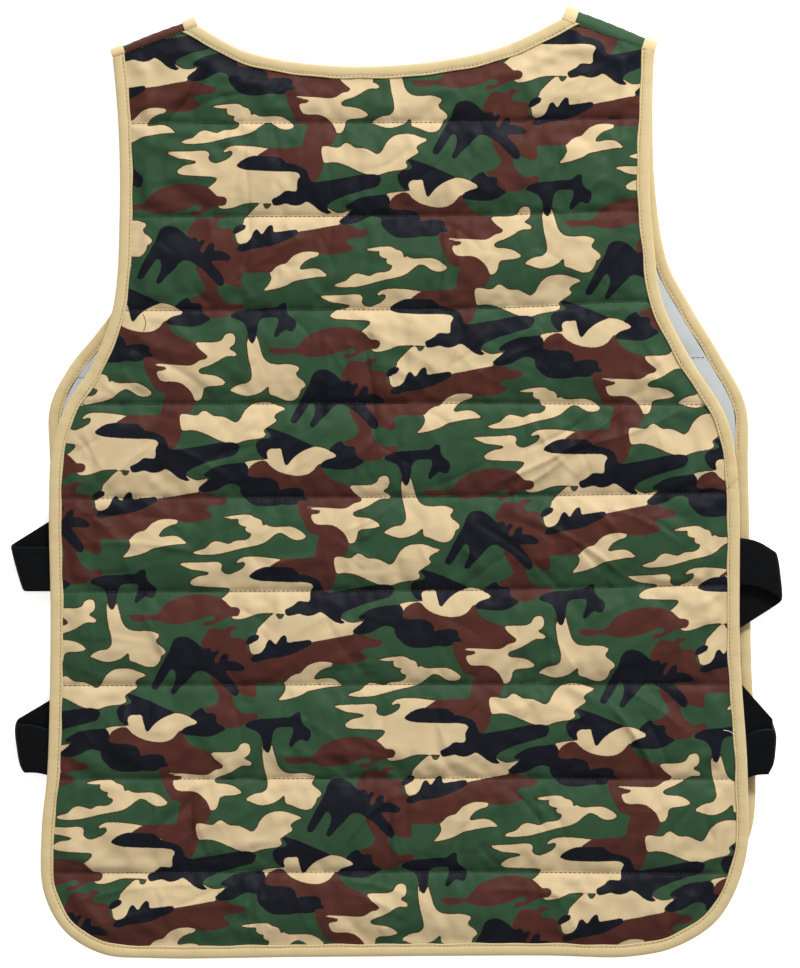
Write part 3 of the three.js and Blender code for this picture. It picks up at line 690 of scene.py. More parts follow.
def quiltGrid(panel, rowsPerChannel, inset):
    # a grid whose rows follow the quilt lines, cut to the outline and drawn onto it
    cell = quilt["pitch"] / rowsPerChannel
    bm = bmesh.new()
    columns, rows = round(quilt["sheet"][0] / cell), quilt["sheet"][1] * rowsPerChannel
    bmesh.ops.create_grid(bm, x_segments=columns, y_segments=rows, size=0.5)
    for v in bm.verts:
        x, y = v.co.x * columns * cell, v.co.y * rows * cell
        v.co = (x, lineY(panel, x, y / quilt["pitch"]), 0)
    loop = panelLoop(panel, inset)
    centres = np.array([f.calc_center_median().xy for f in bm.faces])
    depth = insideBy(centres, loop)
    outside = [f for f, d in zip(bm.faces[:], depth) if d < 0.1 * cell]
    bmesh.ops.delete(bm, geom=outside, context="FACES")
    rim = [v for v in bm.verts if v.is_boundary]
    line = np.vstack([loop, loop[:1]])
    for v in rim:
        a, b = line[:-1], line[1:]
        spans = b - a
        offset = np.array(v.co.xy) - a
        share = np.clip((offset * spans).sum(1) / np.maximum((spans**2).sum(1), 1e-12), 0, 1)
        foot = a + share[:, None] * spans
        v.co.xy = foot[((np.array(v.co.xy) - foot) ** 2).sum(1).argmin()]
    ring = {e.other_vert(v) for v in rim for e in v.link_edges} - set(rim)
    for _ in range(3):
        bmesh.ops.smooth_vert(bm, verts=list(ring), factor=0.5, use_axis_x=True, use_axis_y=True)
    return bm, loop


def quiltTop(panel, points):
    # resting height of the quilted side: crowned channels that run down to a flat edge under the tape
    phase = quiltNumber(panel, points) % 1
    full = 1 - np.abs(2 * phase - 1) ** quilt["boxy"]
    channel = quilt["stitchTop"] + full * (quilt["crown"] - quilt["stitchTop"])
    edge = insideBy(points, panelLoop(panel, quilt["tapeWidth"]))
    return quilt["hemHigh"] + (channel - quilt["hemHigh"]) * smoothStep(edge, 0, quilt["taper"])


def quiltUnder(panel, points):
    edge = insideBy(points, panelLoop(panel, quilt["tapeWidth"]))
    inner = quilt["stitchBottom"] * (1 - smoothStep(offLine(panel, points), 0, quilt["pinch"]))
    return quilt["hemLow"] + (inner - quilt["hemLow"]) * smoothStep(edge, 0, quilt["taper"])


def blowUp(bm, sewn, setting):
    # cloth that swells between the sewn lines; the result comes back as moves in metres
    mesh = bpy.data.meshes.new("padding")
    bm.to_mesh(mesh)
    padding = bpy.data.objects.new("padding", mesh)
    bpy.context.scene.collection.objects.link(padding)
    padding.vertex_groups.new(name="sewn").add(sewn, 1.0, "REPLACE")
    cloth = padding.modifiers.new("swelling", "CLOTH").settings
    cloth.quality = setting["quality"]
    cloth.mass = setting["mass"]
    cloth.tension_stiffness = cloth.compression_stiffness = cloth.shear_stiffness = setting["stiffness"]
    cloth.bending_stiffness = setting["bending"]
    cloth.use_pressure = True
    cloth.uniform_pressure_force = setting["pressure"]
    cloth.shrink_min = -setting["slack"]
    cloth.vertex_group_mass = "sewn"
    cloth.effector_weights.gravity = 0
    for number in range(1, setting["frames"] + 1):
        bpy.context.scene.frame_set(number)
    swollen = padding.evaluated_get(bpy.context.evaluated_depsgraph_get()).data
    moved = np.array([v.co for v in swollen.vertices]) - np.array([v.co for v in mesh.vertices])
    bpy.context.scene.frame_set(1)
    bpy.data.objects.remove(padding)
    size = np.linalg.norm(moved, axis=1)
    print("cloth moved by up to", round(size.max() / mm, 2), "mm, on average", round(size.mean() / mm, 2))
    return moved * np.minimum(1, setting["cap"] * mm / np.maximum(size, 1e-9))[:, None]


# back panel: two cloths with wadding between them, sewn through along nine lines

backPanel = {
    "rows": 12, "inset": 4, "cuts": 3,  # cells to a channel before and cuts after the swelling
    "pressure": 3.0, "slack": 0.02, "bending": 0.15, "frames": 20, "cap": 2.6,
    "quality": 5, "mass": 0.06, "stiffness": 12,
    "held": 3, "sewn": 0.5,  # mm, how far the tape and a sewn line hold the cloth still
    "smooth": 5, "free": (-1, 12),  # rounds of smoothing, and mm from the tape over which folds set in
    "groove": 1.0, "grooveWidth": 1.5, "least": 0.6,  # mm, how the thread pulls the cloth in
}

creases = [  # from x, y to x, y in mm, then the height and the half width of the fold in mm
    (-132, 294, -161, 252, -5.5, 3.6), (-110, 250, -110, 128, -1.5, 1.6), (28, 187, 28, 128, -2.2, 1.8),
    (40, 185, 42, 130, 1.5, 2.5), (-52, 246, -50, 140, -1.0, 1.8), (-26, 107, -17, 2, -2.4, 2.5),
    (166, 58, 65, -2, 2.5, 2.2), (205, 54, 114, 23, 1.8, 2.2), (140, 50, 86, 22, -1.8, 1.6),
    (120, 20, 84, -4, 1.6, 1.6), (52, -26, 114, -75, -1.8, 2.2), (86, -22, 170, -75, 2.1, 2.2),
    (142, -16, 205, -47, 1.6, 2.2),
    (121, -40, 150, -75, -1.5, 1.6), (146, -152, 181, -205, 3.7, 2.5), (160, -145, 205, -177, 1.8, 2.2),
    (170, -160, 190, -200, -2.4, 1.8), (76, -212, 104, -243, -2.3, 2.2), (-40, -257, 2, -215, 1.8, 2.2),
    (-8, -215, -8, -268, -2.2, 1.8), (-145, -215, -148, -271, -2.4, 1.8), (170, -257, 181, -215, 2.4, 2.5),
    (-190, -152, -201, -201, 2.7, 2.5), (-173, -145, -180, -187, -1.9, 2.5),
    (-236, -296, -110, -282, 1.6, 2.7), (-222, -313, -96, -296, 1.5, 2.7),
    (-47, -278, 16, -292, 1.5, 2.2), (58, -285, 142, -296, 1.5, 2.7),
    (-232, -26, -138, -30, -1.6, 2.7), (-232, -44, -131, -51, 1.5, 2.7), (-103, -65, -54, -51, 1.6, 2.2),
    (-194, 96, -138, 68, -1.5, 2.7), (114, 107, 104, 68, -2.7, 3.1), (51, 72, 114, 100, 1.3, 2.2),
    (-173, 30, -117, 2, 1.6, 2.2), (-145, 9, -96, 26, -1.3, 2.2), (30, -85, 22, -117, 1.9, 2.5),
    (65, 16, 20, -4, -1.5, 2.2), (100, -100, 128, -138, 1.9, 3.1), (-80, -160, -30, -190, 1.3, 2.7),
    (-180, -90, -160, -130, 1.9, 2.5), (60, -150, 110, -190, -1.0, 2.7), (-60, 60, -100, 20, 1.0, 2.7),
]

puckers = {
    "count": 340, "seed": 11, "length": (14, 56), "height": (0.4, 1.5), "width": (1.4, 2.8),  # mm
    "spread": 235, "lines": (-5, 5), "start": (2, 22),  # mm to the sides, lines, and mm off the line
    "ways": (52, 90, 128), "wander": 17,  # degrees
}


def puckerRows():
    # small creases that run off the quilt lines, mostly aslant
    dice = np.random.default_rng(puckers["seed"])
    rows = []
    for _ in range(puckers["count"]):
        x, number = dice.uniform(-puckers["spread"], puckers["spread"]), dice.integers(*puckers["lines"])
        way = math.radians(dice.choice(puckers["ways"]) + dice.normal(0, puckers["wander"]))
        way += dice.choice([0, math.pi])
        start = dice.uniform(*puckers["start"]) * (1 if math.sin(way) > 0 else -1)
        y = float(lineY(back, x, number)) + start
        length, height, width = (dice.uniform(*puckers[k]) for k in ("length", "height", "width"))
        rows.append((x, y, x + length * math.cos(way), y + length * math.sin(way),
                     height * dice.choice([-1, 1]), width))
    return rows


pressed = {"near": (0.62, 5), "bend": 0.05, "start": (-0.12, 0.3), "end": (0.7, 1.12)}  # shares of the length


def creaseRise(plan):
    # pressed folds, highest in the middle of their length and gone at both ends
    rise = np.zeros(len(plan))
    for x0, y0, x1, y1, height, width in creases + puckerRows():
        run = np.array([x1 - x0, y1 - y0], float)
        length = np.linalg.norm(run)
        fromMiddle = np.hypot(*(plan - ((x0 + x1) / 2, (y0 + y1) / 2)).T)
        near = np.flatnonzero(fromMiddle < pressed["near"][0] * length + pressed["near"][1] * width)
        offset = plan[near] - (x0, y0)
        along = offset @ run / length**2
        bend = pressed["bend"] * length * np.sin(math.pi * np.clip(along, 0, 1))
        off = np.abs(offset @ np.array([-run[1], run[0]]) / length - bend)
        fade = smoothStep(along, *pressed["start"]) * (1 - smoothStep(along, *pressed["end"]))
        rise[near] += height * np.exp(-off / width) * fade
    return rise


unevenCloth = {  # heights in mm, and the size in mm and the layer of the noise behind each
    "crumple": 2.4, "crumpleSize": (46, 16, 30), "turn": (0.82, 0.57),  # slanting ridges, in patches
    "patchSize": (95, 60, 40), "patch": (-0.2, 0.25),
    "soft": 0.25, "softSize": (34, 22, 3),
    "gather": 0.6, "gatherSize": (5.5, 60, 15), "gatherReach": 6,  # beside the sewn lines
}


def noiseAt(points, size):
    return np.array([noise.noise((x / size[0], y / size[1], size[2])) for x, y in points])


def ruffle(plan, nearLine):
    # soft unevenness of the wadding, gathers beside the sewn lines, and crumples whose slant changes from
    # one channel to the next
    x, y = plan.T
    slant = np.where(np.floor(quiltNumber(back, plan)) % 2 == 0, 1, -1)
    lengthwise, crosswise = unevenCloth["turn"]
    turned = np.column_stack([lengthwise * x * slant + crosswise * y, lengthwise * y - crosswise * x * slant])
    crumple = 0.4 - np.abs(noiseAt(turned, unevenCloth["crumpleSize"]))
    patch = smoothStep(noiseAt(plan, unevenCloth["patchSize"]), *unevenCloth["patch"])
    soft = noiseAt(plan, unevenCloth["softSize"])
    gather = noiseAt(plan, unevenCloth["gatherSize"]) * np.exp(-nearLine / unevenCloth["gatherReach"])
    return (unevenCloth["crumple"] * crumple * patch + unevenCloth["soft"] * soft
            + unevenCloth["gather"] * gather)


bm, loop = quiltGrid(back, backPanel["rows"], backPanel["inset"])
bmesh.ops.recalc_face_normals(bm, faces=bm.faces)
topVerts = doubled(bm)
plan = np.array([v.co.xy for v in bm.verts])
level, top, under = backLevel(plan[:, 1]), quiltTop(back, plan), quiltUnder(back, plan)
nearLine = offLine(back, plan)
hidden = insideBy(plan, panelLoop(back, quilt["tapeWidth"])) < backPanel["held"]
for v in bm.verts:
    height = top[v.index] if v in topVerts else under[v.index]
    v.co = Vector((*plan[v.index], level[v.index] + height)) * mm
for f in bm.faces:
    f.material_index = 0 if all(v in topVerts for v in f.verts) else 1
sewn = [v.index for v in bm.verts
        if v not in topVerts or hidden[v.index] or nearLine[v.index] < backPanel["sewn"]]
moves = blowUp(bm, sewn, backPanel)
for v in bm.verts:
    v.co += Vector(moves[v.index])
topEdges = [e for e in bm.edges if any(f.material_index == 0 for f in e.link_faces)]
bmesh.ops.subdivide_edges(bm, edges=topEdges, cuts=backPanel["cuts"], use_grid_fill=True)
topVerts = [v for v in bm.verts if all(f.material_index == 0 for f in v.link_faces)]
for _ in range(backPanel["smooth"]):
    bmesh.ops.smooth_vert(bm, verts=topVerts, factor=0.5, use_axis_x=True, use_axis_y=True, use_axis_z=True)
plan = np.array([v.co.xy for v in topVerts]) / mm
nearLine = offLine(back, plan)
pulled = backPanel["groove"] * np.exp(-(nearLine / backPanel["grooveWidth"]) ** 2)
free = smoothStep(insideBy(plan, panelLoop(back, quilt["tapeWidth"])), *backPanel["free"])
rises = free * (creaseRise(plan) + ruffle(plan, nearLine)) - pulled
lowest = backLevel(plan[:, 1]) + quiltUnder(back, plan) + backPanel["least"]
for v, rise, low in zip(topVerts, rises, lowest):
    v.co.z = max(v.co.z + rise * mm, min(v.co.z, low * mm))  # no fold goes through to the underside
backPiece = newPiece("backPanel", bm, [printedCloth, liningCloth], ["back_panel"])
printInks(backPiece.data)


# shoulder seams, from the neck end to the arm end: how far the front rolls out past both ends, and how deep
# its tape is tucked in and lapped by the back's, in mm

seams = [
    {"neck": (115.5, 325.2), "arm": (180.6, 301.4), "reach": (10.4, 8.2), "tuck": 0.1, "lap": 0.9},
    {"neck": (-139.7, 320.3), "arm": (-199.5, 297.9), "reach": (6.8, 6.2), "tuck": 0.9, "lap": 0},
]
for seam in seams:
    run = Vector(seam["arm"]) - Vector(seam["neck"])
    seam["length"] = run.length
    seam["along"] = run.normalized()
    seam["out"] = Vector((-run.y, run.x)).normalized()
    seam["out"] *= math.copysign(1, seam["out"].y)


def trimAtSeams(bm, past):
    # cuts off what runs past a shoulder seam
    for seam in seams:
        at = Vector(seam["neck"]) + seam["out"] * (past + seam["lap"])
        bmesh.ops.bisect_plane(bm, geom=bm.verts[:] + bm.edges[:] + bm.faces[:], dist=1e-6,
                               plane_co=(*(at * mm), 0), plane_no=(*seam["out"], 0), clear_outer=True)


def faceOutwards(bm, look):
    # turns an open sheet so that it faces the way it should before it gets its wall
    bm.normal_update()
    if sum(look(f) for f in bm.faces) < 0:
        bmesh.ops.reverse_faces(bm, faces=bm.faces)


# binding: bias tape folded over the raw edge and sewn down near its inner edge

binding = {
    "profile": [  # mm in from the outer fold, and mm above the panel's underside
        (9.0, 4.0), (8.8, 4.4), (8.2, 4.5), (7.3, 3.9), (6.4, 4.5), (5.0, 4.7), (3.4, 4.7), (1.8, 4.5),
        (0.7, 4.0), (0.1, 3.1), (0.1, 1.9), (0.7, 0.9), (2.2, 0.4), (5.0, 0.3), (9.0, 0.3),
    ],
    "step": 3.0, "wall": 0.5, "overrun": 12,
    "flat": 24, "middle": 2.4,  # the tape's width before it is folded, and the middle of its height
    "short": -0.3, "under": 1.5,  # mm past the shoulder seams, of the back's tape and of the front's
    "wobble": 0.4, "pucker": 0.28,  # mm, how unevenly it was sewn and how it gathers
    "wobbleLength": 31, "puckerLength": 9, "wobbleFrom": (2, 8), "puckerFrom": (3, 4.9),  # mm
}


def tapeLine(rows):
    # the edge with some spare tape past both ends
    p = np.array(rows, float)
    first = p[0] + (p[0] - p[1]) / np.linalg.norm(p[0] - p[1]) * binding["overrun"]
    last = p[-1] + (p[-1] - p[-2]) / np.linalg.norm(p[-1] - p[-2]) * binding["overrun"]
    return evenLine(np.vstack([first, p, last]), binding["step"])


def unevenness(stations, length, seed):
    # a smooth hand-sewn wander along the tape, between about -1 and 1
    waves = [np.sin(2 * math.pi * stations / (length * k) + seed * (3.1 + k)) / k for k in (1, 1.7, 2.9)]
    return sum(waves) / 1.6


def boundEdge(rows, level, past, seed):
    line, tangents, stations = tapeLine(rows)
    inward = np.column_stack([-tangents[:, 1], tangents[:, 0]])
    profile = np.array(binding["profile"])
    columns, ribs = len(line) - 1, len(profile) - 1
    wander = binding["wobble"] * unevenness(stations, binding["wobbleLength"], seed)
    gather = binding["pucker"] * unevenness(stations, binding["puckerLength"], seed + 2)
    bm = clothGrid(columns, ribs, "tape", (stations[-1], binding["flat"]))
    for v in bm.verts:
        i, j = round((v.co.x + 0.5) * columns), round((v.co.y + 0.5) * ribs)
        depth, height = profile[j]
        depth += wander[i] * smoothStep(depth, *binding["wobbleFrom"])
        height += gather[i] * smoothStep(height, *binding["puckerFrom"])
        place = line[i] + inward[i] * depth
        v.co = Vector((*place, level(place[1]) + height)) * mm
    trimAtSeams(bm, past)
    middle = (level(0) + binding["middle"]) * mm
    faceOutwards(bm, lambda f: f.normal.z * (f.calc_center_median().z - middle))
    bmesh.ops.solidify(bm, geom=bm.faces[:], thickness=binding["wall"] * mm)
    return bm


def tapeJoin(rows, join):
    # the tape's two ends meet at a slant, the upper one folded under and sewn down over the other
    line, tangents, stations = tapeLine(rows)
    at = stations[((line - join["at"]) ** 2).sum(1).argmin()]
    profile = np.array(binding["profile"][:10])
    bm = bmesh.new()
    bmesh.ops.create_grid(bm, x_segments=6, y_segments=len(profile) - 1, size=0.5)
    for v in bm.verts:
        depth, height = profile[round((v.co.y + 0.5) * (len(profile) - 1))]
        s = at + join["length"] * v.co.x - join["slant"] * (depth / quilt["tapeWidth"] - 0.5)
        x, y, tx, ty = (np.interp(s, stations, row) for row in (*line.T, *tangents.T))
        grow = join["grow"] * (1 - (1.7 * v.co.x) ** 4)
        place = Vector((x, y)) + Vector((-ty, tx)) * (depth - 0.5 * grow)
        v.co = Vector((*place, backLevel(place.y) + height + grow)) * mm
    bm.loops.layers.uv.new("tape")
    faceOutwards(bm, lambda f: f.normal.z)
    bmesh.ops.solidify(bm, geom=bm.faces[:], thickness=binding["wall"] * mm)
    return bm


roll = {
    "radius": 8.5, "rows": 18, "flat": 34,  # mm, and rows of cells from the underside to the seam
    "lift": 0.5, "plump": 0.45, "tape": 1.0, "tuckFrom": 76,  # mm and degrees, the tape that covers its ends
}


def rollPoint(seam, along, angle, grow):
    # a point on the roll over the shoulder: angle -90 is underneath, 0 outermost and 90 on top at the seam
    turn = math.radians(angle)
    grow *= smoothStep(angle, -90, -40)  # it lies flat on the floor
    reach = np.interp(along, (0, seam["length"]), seam["reach"]) + grow
    at = Vector(seam["neck"]) + seam["along"] * along + seam["out"] * (reach * math.cos(turn))
    return Vector((*at, roll["radius"] + (roll["radius"] + grow) * math.sin(turn))) * mm


def rolledStrip(seam, start, end, columns, shape):
    # a strip of cloth from under the shoulder, over the roll and down into the seam
    bm = bmesh.new()
    bmesh.ops.create_grid(bm, x_segments=columns, y_segments=roll["rows"], size=0.5)
    uv = bm.loops.layers.uv.new("tape")
    for f in bm.faces:
        for corner in f.loops:
            x, y = corner.vert.co.xy
            corner[uv].uv = ((y + 0.5) * roll["flat"] * mm, (x + 0.5) * (end - start) * mm)
    for v in bm.verts:
        share, angle = v.co.x + 0.5, -90 + 180 * (v.co.y + 0.5)
        v.co = rollPoint(seam, start + (end - start) * share, angle, shape(share, angle))
    faceOutwards(bm, lambda f: f.normal.xy.dot(seam["out"]))
    return bm


def tapeCap(seam, start, end):
    # the front's tape carried over the roll: doubled at its rounded long edges and tucked in at the seam
    def shape(share, angle):
        edge = min(1, 2.2 * (1 - abs(2 * share - 1)))
        tuck = seam["tuck"] * smoothStep(angle, roll["tuckFrom"], 90)
        return roll["lift"] + roll["plump"] * math.sin(math.pi * edge / 2) - tuck
    bm = rolledStrip(seam, start, end, 8, shape)
    bmesh.ops.solidify(bm, geom=bm.faces[:], thickness=roll["tape"] * mm)
    return bm


def joined(parts):
    # several bmeshes in one
    whole = bmesh.new()
    for part in parts:
        mesh = bpy.data.meshes.new("part")
        part.to_mesh(mesh)
        part.free()
        whole.from_mesh(mesh)
        bpy.data.meshes.remove(mesh)
    return whole


def flat(y):
    return 0.0


tapeEnd = 9.6  # mm, width of the tape over a roll
newPiece("backNeckBinding", boundEdge(back["neck"], backLevel, binding["short"], 1),
         [biasTape], ["back_neck_binding"])
sideJoin = {"at": (238.9, 2.2), "length": 7.4, "slant": 7.6, "grow": 0.55}  # mm
newPiece("backEdgeBinding",
         joined([boundEdge(back["edge"], backLevel, binding["short"], 2), tapeJoin(back["edge"], sideJoin)]),
         [biasTape], ["back_edge_binding"])
newPiece("frontNeckBinding",
         joined([boundEdge(front["neck"], flat, binding["under"], 3)]
                + [tapeCap(s, 0, tapeEnd) for s in seams]),
         [biasTape], ["front_neck_binding"])
newPiece("frontEdgeBinding",
         joined([boundEdge(front["edge"], flat, binding["under"], 4)]
                + [tapeCap(s, s["length"] - tapeEnd, s["length"]) for s in seams]),
         [biasTape], ["front_edge_binding"])


# side straps: elastic webbing sewn under the back's edge, folded back and sewn to the front

straps = {
    "thick": 1.4, "tuck": 20, "upper": 14.95, "lower": 8.75,  # mm, heights of the two legs' middles
    "selvedge": 1.2, "rib": 2.0, "ribHeight": 0.05, "slim": 0.1,  # mm
    "cells": (90, 30),
    "loops": [  # side, where it leaves the back, its turns in degrees, outermost x and the x of its end
        {"name": "strapLeftUpper", "node": "strap_left_upper", "side": -1, "edge": (243, -60.7),
         "width": 31.4, "rise": 0, "arch": 0, "flare": 0, "corner": 0.6,
         "lean": 15.9, "reach": 267.4, "end": 214},
        {"name": "strapLeftLower", "node": "strap_left_lower", "side": -1, "edge": (244, -189.6),
         "width": 33, "rise": 9, "arch": -1.2, "flare": 6, "corner": 2.0,
         "lean": 8, "reach": 267.2, "end": 214},
        {"name": "strapRightUpper", "node": "strap_right_upper", "side": 1, "edge": (240, -55.3),
         "width": 30, "rise": -19, "arch": 2.4, "flare": 0, "corner": 1.0,
         "lean": -6.7, "reach": 269.4, "end": 222},
        {"name": "strapRightLower", "node": "strap_right_lower", "side": 1, "edge": (243, -193.5),
         "width": 30.5, "rise": 14, "arch": 1.6, "flare": 31, "corner": 3.6,
         "lean": 5, "reach": 266, "end": 224},
    ],
}


def webbingLoop(row):
    # a flat ribbed band, rolled round a leaning fold, so its lower leg turns by twice the lean
    side, rise, lean = row["side"], math.radians(row["rise"]), math.radians(row["lean"])
    radius, level = (straps["upper"] - straps["lower"]) / 2, (straps["upper"] + straps["lower"]) / 2
    leg = Vector((side * math.cos(rise), math.sin(rise)))
    across = Vector((-leg.y, leg.x))
    fold = Vector((side * math.sin(lean), math.cos(lean)))
    foldOut = Vector((side * math.cos(lean), -math.sin(lean)))
    start = Vector((side * row["edge"][0], row["edge"][1]))
    upperRun = (row["reach"] - radius - straps["thick"] / 2 - row["edge"][0]) / math.cos(rise)
    turnStart = start + leg * upperRun
    slant = leg.dot(foldOut)
    turnRun = math.pi * radius / slant
    lowerRun = (abs(turnStart.x) - row["end"]) / abs(leg.x - 2 * slant * foldOut.x)
    length = straps["tuck"] + upperRun + turnRun + lowerRun
    skew = fold.dot(leg) / fold.dot(across)
    flare = math.tan(math.radians(row["flare"]))

    bm = clothGrid(*straps["cells"], "webbing", (length, row["width"]))
    upper = doubled(bm)
    for v in bm.verts:
        run, sideways = (v.co.x + 0.5) * length - straps["tuck"], v.co.y * row["width"]
        edge = smoothStep(row["width"] / 2 - abs(sideways), 0, straps["selvedge"])  # thinner there
        rib = straps["ribHeight"] * math.cos(2 * math.pi * sideways / straps["rib"])
        half = (straps["thick"] / 2) * (0.45 + 0.55 * edge) + rib * edge - straps["slim"]
        arch = row["arch"] * math.sin(math.pi * min(max(run / upperRun, 0), 1))  # the upper leg bows a little
        spot = start + leg * (run + sideways * skew) + across * (sideways + arch) - turnStart
        past = spot.dot(foldOut)
        turn = min(max(past / radius, 0), math.pi)
        outside = radius + (half if v in upper else -half)
        out = min(past, 0) + outside * math.sin(turn) - max(past - math.pi * radius, 0)
        out -= row["corner"] * abs(2 * sideways / row["width"]) ** 4 * math.sin(turn)
        loose = max(past - math.pi / 2 * radius, 0) * flare  # the lower leg swings up
        place = turnStart + foldOut * out + fold * (spot.dot(fold) + loose)
        v.co = Vector((*place, level + outside * math.cos(turn))) * mm
    bmesh.ops.recalc_face_normals(bm, faces=bm.faces)
    return bm


for row in straps["loops"]:
    newPiece(row["name"], webbingLoop(row), [webbing], [row["node"]])


# front panel: the same quilted cloth with its printed side down; its ends roll over the shoulders to the back

frontPanel = {
    "rows": 8, "inset": 4, "cuts": 1,
    "wadding": 1.6, "lap": 8.6, "columns": 36,  # mm, the rolls' thickness and how far their tape laps them
    "plump": 0.7, "lower": 0.5, "pull": 0.5, "pullFrom": 72, "ripple": 0.12,  # mm and degrees, their shape
}


def shoulderCloth(seam):
    # the printed strip between the two taped ends of a roll, a little plump and pulled in at the seam
    def shape(share, angle):
        plump = frontPanel["plump"] * math.sin(math.pi * share) ** 0.6 - frontPanel["lower"]
        pull = frontPanel["pull"] * smoothStep(angle, frontPanel["pullFrom"], 90)
        return plump - pull + frontPanel["ripple"] * math.sin(share * 40 + angle * 0.07)
    lap = frontPanel["lap"]
    bm = rolledStrip(seam, lap, seam["length"] - lap, frontPanel["columns"], shape)
    bmesh.ops.solidify(bm, geom=bm.faces[:], thickness=frontPanel["wadding"] * mm)
    return bm


bm, loop = quiltGrid(front, frontPanel["rows"], frontPanel["inset"])
bmesh.ops.recalc_face_normals(bm, faces=bm.faces)
topVerts = doubled(bm)
plan = np.array([v.co.xy for v in bm.verts])
top, under = quiltTop(front, plan), quiltUnder(front, plan)
for v in bm.verts:
    v.co = Vector((*plan[v.index], top[v.index] if v in topVerts else under[v.index])) * mm
underEdges = [e for e in bm.edges if any(not any(v in topVerts for v in f.verts) for f in e.link_faces)]
bmesh.ops.subdivide_edges(bm, edges=underEdges, cuts=frontPanel["cuts"], use_grid_fill=True)
frontPiece = newPiece("frontPanel", joined([bm] + [shoulderCloth(s) for s in seams]),
                      [printedCloth], ["front_panel"])
printInks(frontPiece.data)

# the rolled strips show other blots than the back does: the right one is all green, and on the left
# brown runs along the seam and green comes in from the arm end
rollPrint = {"above": 4, "from": -0.2, "edge": 1.15, "slope": 1.7, "turn": 0.45, "clear": 4}  # mm and shares
bare, full = -camouflage["reach"], camouflage["reach"]
frontInks, backInks = frontPiece.data.attributes, backPiece.data.attributes
corners = np.array([v.co for v in frontPiece.data.vertices]) / mm
backPlan = np.array([v.co.xy for v in backPiece.data.vertices]) / mm
for seam, brownAtSeam in zip(seams, (False, True)):
    offset = corners[:, :2] - seam["neck"]
    along = offset @ np.array(seam["along"]) / seam["length"]
    out = offset @ np.array(seam["out"]) / seam["reach"][0]
    strip = np.flatnonzero((corners[:, 2] > rollPrint["above"]) & (out > rollPrint["from"])
                           & (along > 0) & (along < 1))
    fromArm = np.clip(along - rollPrint["turn"], 0, 1)
    brown = full * (rollPrint["edge"] - rollPrint["slope"] * fromArm - out)
    for index in strip:
        frontInks["tan"].data[index].value = frontInks["black"].data[index].value = bare
        frontInks["brown"].data[index].value = brown[index] if brownAtSeam else bare

    offset = backPlan - seam["neck"]
    along, out = offset @ np.array(seam["along"]), offset @ np.array(seam["out"])
    for index in np.flatnonzero((out > -rollPrint["clear"]) & (along > 0) & (along < seam["length"])):
        backInks["tan"].data[index].value = bare

# lining of the front, which shows in the armholes

lining = {"rows": 8, "inset": 9.2, "lift": 0.35, "thick": 0.6, "cut": (0.480, 0.607)}  # mm, the cut in metres

bm, loop = quiltGrid(front, lining["rows"], lining["inset"])
bm.verts.index_update()
plan = np.array([v.co.xy for v in bm.verts])
top = quiltTop(front, plan)
for v in bm.verts:
    v.co = Vector((*plan[v.index], top[v.index] + lining["lift"])) * mm
faceOutwards(bm, lambda f: f.normal.z)
bmesh.ops.subdivide_edges(bm, edges=bm.edges[:], cuts=1, use_grid_fill=True)
bmesh.ops.smooth_vert(bm, verts=[v for v in bm.verts if not v.is_boundary], factor=0.5,
                      use_axis_x=True, use_axis_y=True, use_axis_z=True)
bmesh.ops.translate(bm, vec=(0, 0, lining["thick"] * mm), verts=bm.verts)
bmesh.ops.solidify(bm, geom=bm.faces[:], thickness=lining["thick"] * mm)
liningPiece = newPiece("frontLining", bm, [liningCloth], ["front_lining"])
following = np.roll(loop, -1, axis=0)


# stitches: one short twist of thread after another, each lying in the cloth that it holds

def surfaceOf(*pieces):
    bm = bmesh.new()
    for piece in pieces:
        bm.from_mesh(piece.data)
    tree = BVHTree.FromBMesh(bm)
    bm.free()
    return tree


sewing = {"batch": 40, "steepest": 2.5, "above": 0.1}  # stitches, mm, and metres


def sewRow(line, surface, shape):
    # stitches along a line in plan, dropped onto the surface below it; a new bmesh for every few dozen
    along = np.concatenate([[0], np.cumsum(np.linalg.norm(np.diff(line, axis=0), axis=1))])
    runs = []
    for number, spot in enumerate(np.arange(shape["pitch"] / 2, along[-1], shape["pitch"])):
        if number % sewing["batch"] == 0:
            runs.append(bmesh.new())
        ends = []
        for s in (spot - shape["length"] / 2, spot + shape["length"] / 2):
            x, y = (np.interp(s, along, line[:, i]) for i in (0, 1))
            hit = surface.ray_cast(Vector((x * mm, y * mm, sewing["above"])), Vector((0, 0, -1)))[0]
            if hit:
                ends.append(hit + Vector((0, 0, shape["proud"] * mm)))
        if len(ends) < 2 or abs(ends[1].z - ends[0].z) > sewing["steepest"] * mm:
            continue
        run = ends[1] - ends[0]
        turn = run.to_track_quat("Z", "Y").to_matrix().to_4x4()
        size = Matrix.Diagonal((shape["radius"] * mm, shape["radius"] * mm, run.length / 2, 1))
        bmesh.ops.create_uvsphere(runs[-1], u_segments=6, v_segments=4, radius=1,
                                  matrix=Matrix.Translation((ends[0] + ends[1]) / 2) @ turn @ size)
    return runs


quiltStitch = {"pitch": 3.3, "length": 2.7, "radius": 0.28, "proud": 0.12}  # mm


def quiltRows(panel, inset):
    # every quilt line of a panel as points in plan, as far as it shows inside the tape
    inner = panelLoop(panel, inset)
    for number in range(-quilt["most"], quilt["most"] + 1):
        x = np.arange(*quilt["across"], 1.0)
        line = np.column_stack([x, lineY(panel, x, number)])
        line = line[insideBy(line, inner) > 0]
        for part in np.split(line, np.flatnonzero(np.diff(line[:, 0]) > 3) + 1):
            if len(part) > 5:
                yield part


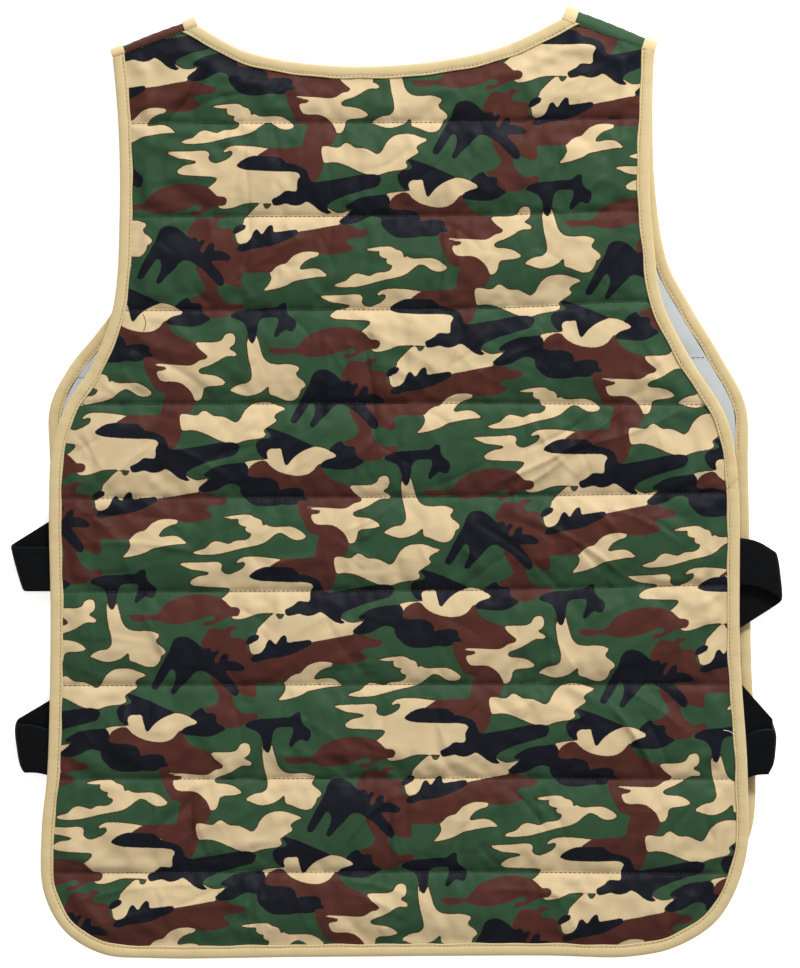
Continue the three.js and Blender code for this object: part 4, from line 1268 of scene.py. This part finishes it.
for name, panel, piece in (("quiltStitches", back, backPiece), ("liningStitches", front, liningPiece)):
    surface = surfaceOf(piece)
    lines = quiltRows(panel, quilt["tapeWidth"])
    runs = [run for line in lines for run in sewRow(line, surface, quiltStitch)]
    newPiece(name, joined(runs), [quiltThread])

tapeStitch = {"pitch": 3.0, "length": 2.3, "radius": 0.3, "proud": 0.08, "depth": 7.3}  # mm in from the fold
rows = []
for panel, name in ((back, "back"), (front, "front")):
    for side, piece in (("neck", name + "NeckBinding"), ("edge", name + "EdgeBinding")):
        points, tangents, stations = evenLine(panel[side], 2.0)
        line = points + tapeStitch["depth"] * np.column_stack([-tangents[:, 1], tangents[:, 0]])
        rows += sewRow(line, surfaceOf(bpy.data.objects[piece]), tapeStitch)
newPiece("tapeStitches", joined(rows), [tapeThread])

# shoulder seams: the left one is overlocked with short slanting stitches over the join

overlock = {  # mm
    "pitch": 2.3, "radius": 0.3, "proud": 0.3, "ends": (10, 9),
    "before": 1.9, "after": 1.2, "slant": 0.5,  # on either side of the seam, and along it
}
seam = seams[1]
surface = surfaceOf(backPiece, frontPiece)
runs = []
for along in np.arange(overlock["ends"][0], seam["length"] - overlock["ends"][1], overlock["pitch"]):
    at = Vector(seam["neck"]) + seam["along"] * along
    line = np.array([at - seam["out"] * overlock["before"], at + seam["out"] * overlock["after"]
                     + seam["along"] * overlock["slant"]])
    length = np.linalg.norm(line[1] - line[0])
    runs += sewRow(line, surface, {**overlock, "pitch": length, "length": length})
newPiece("overlockStitches", joined(runs), [quiltThread])

# loose ends: a few bits of white thread left by the sewing, and one dark one

looseEnds = {"pitch": 0.9, "length": 1.3, "radius": 0.24, "proud": 0.2}  # mm
looseRows = [  # where each lies, in mm
    [(229.9, -64.8), (231.2, -66.6), (232.6, -67.5)], [(228.2, -173.2), (232.4, -174.0), (236.6, -176.8)],
    [(-238.0, -198.4), (-236.2, -200.6), (-235.2, -203.4)],
]
darkRows = [[(-177.8, 118.0), (-175.7, 112.4), (-177.1, 105.4)]]
surface = surfaceOf(backPiece, bpy.data.objects["backEdgeBinding"])
for name, rows, thread in (("looseThreads", looseRows, paleThread), ("darkThread", darkRows, quiltThread)):
    runs = [run for row in rows for run in sewRow(evenLine(row, 0.5)[0], surface, looseEnds)]
    newPiece(name, joined(runs), [thread])
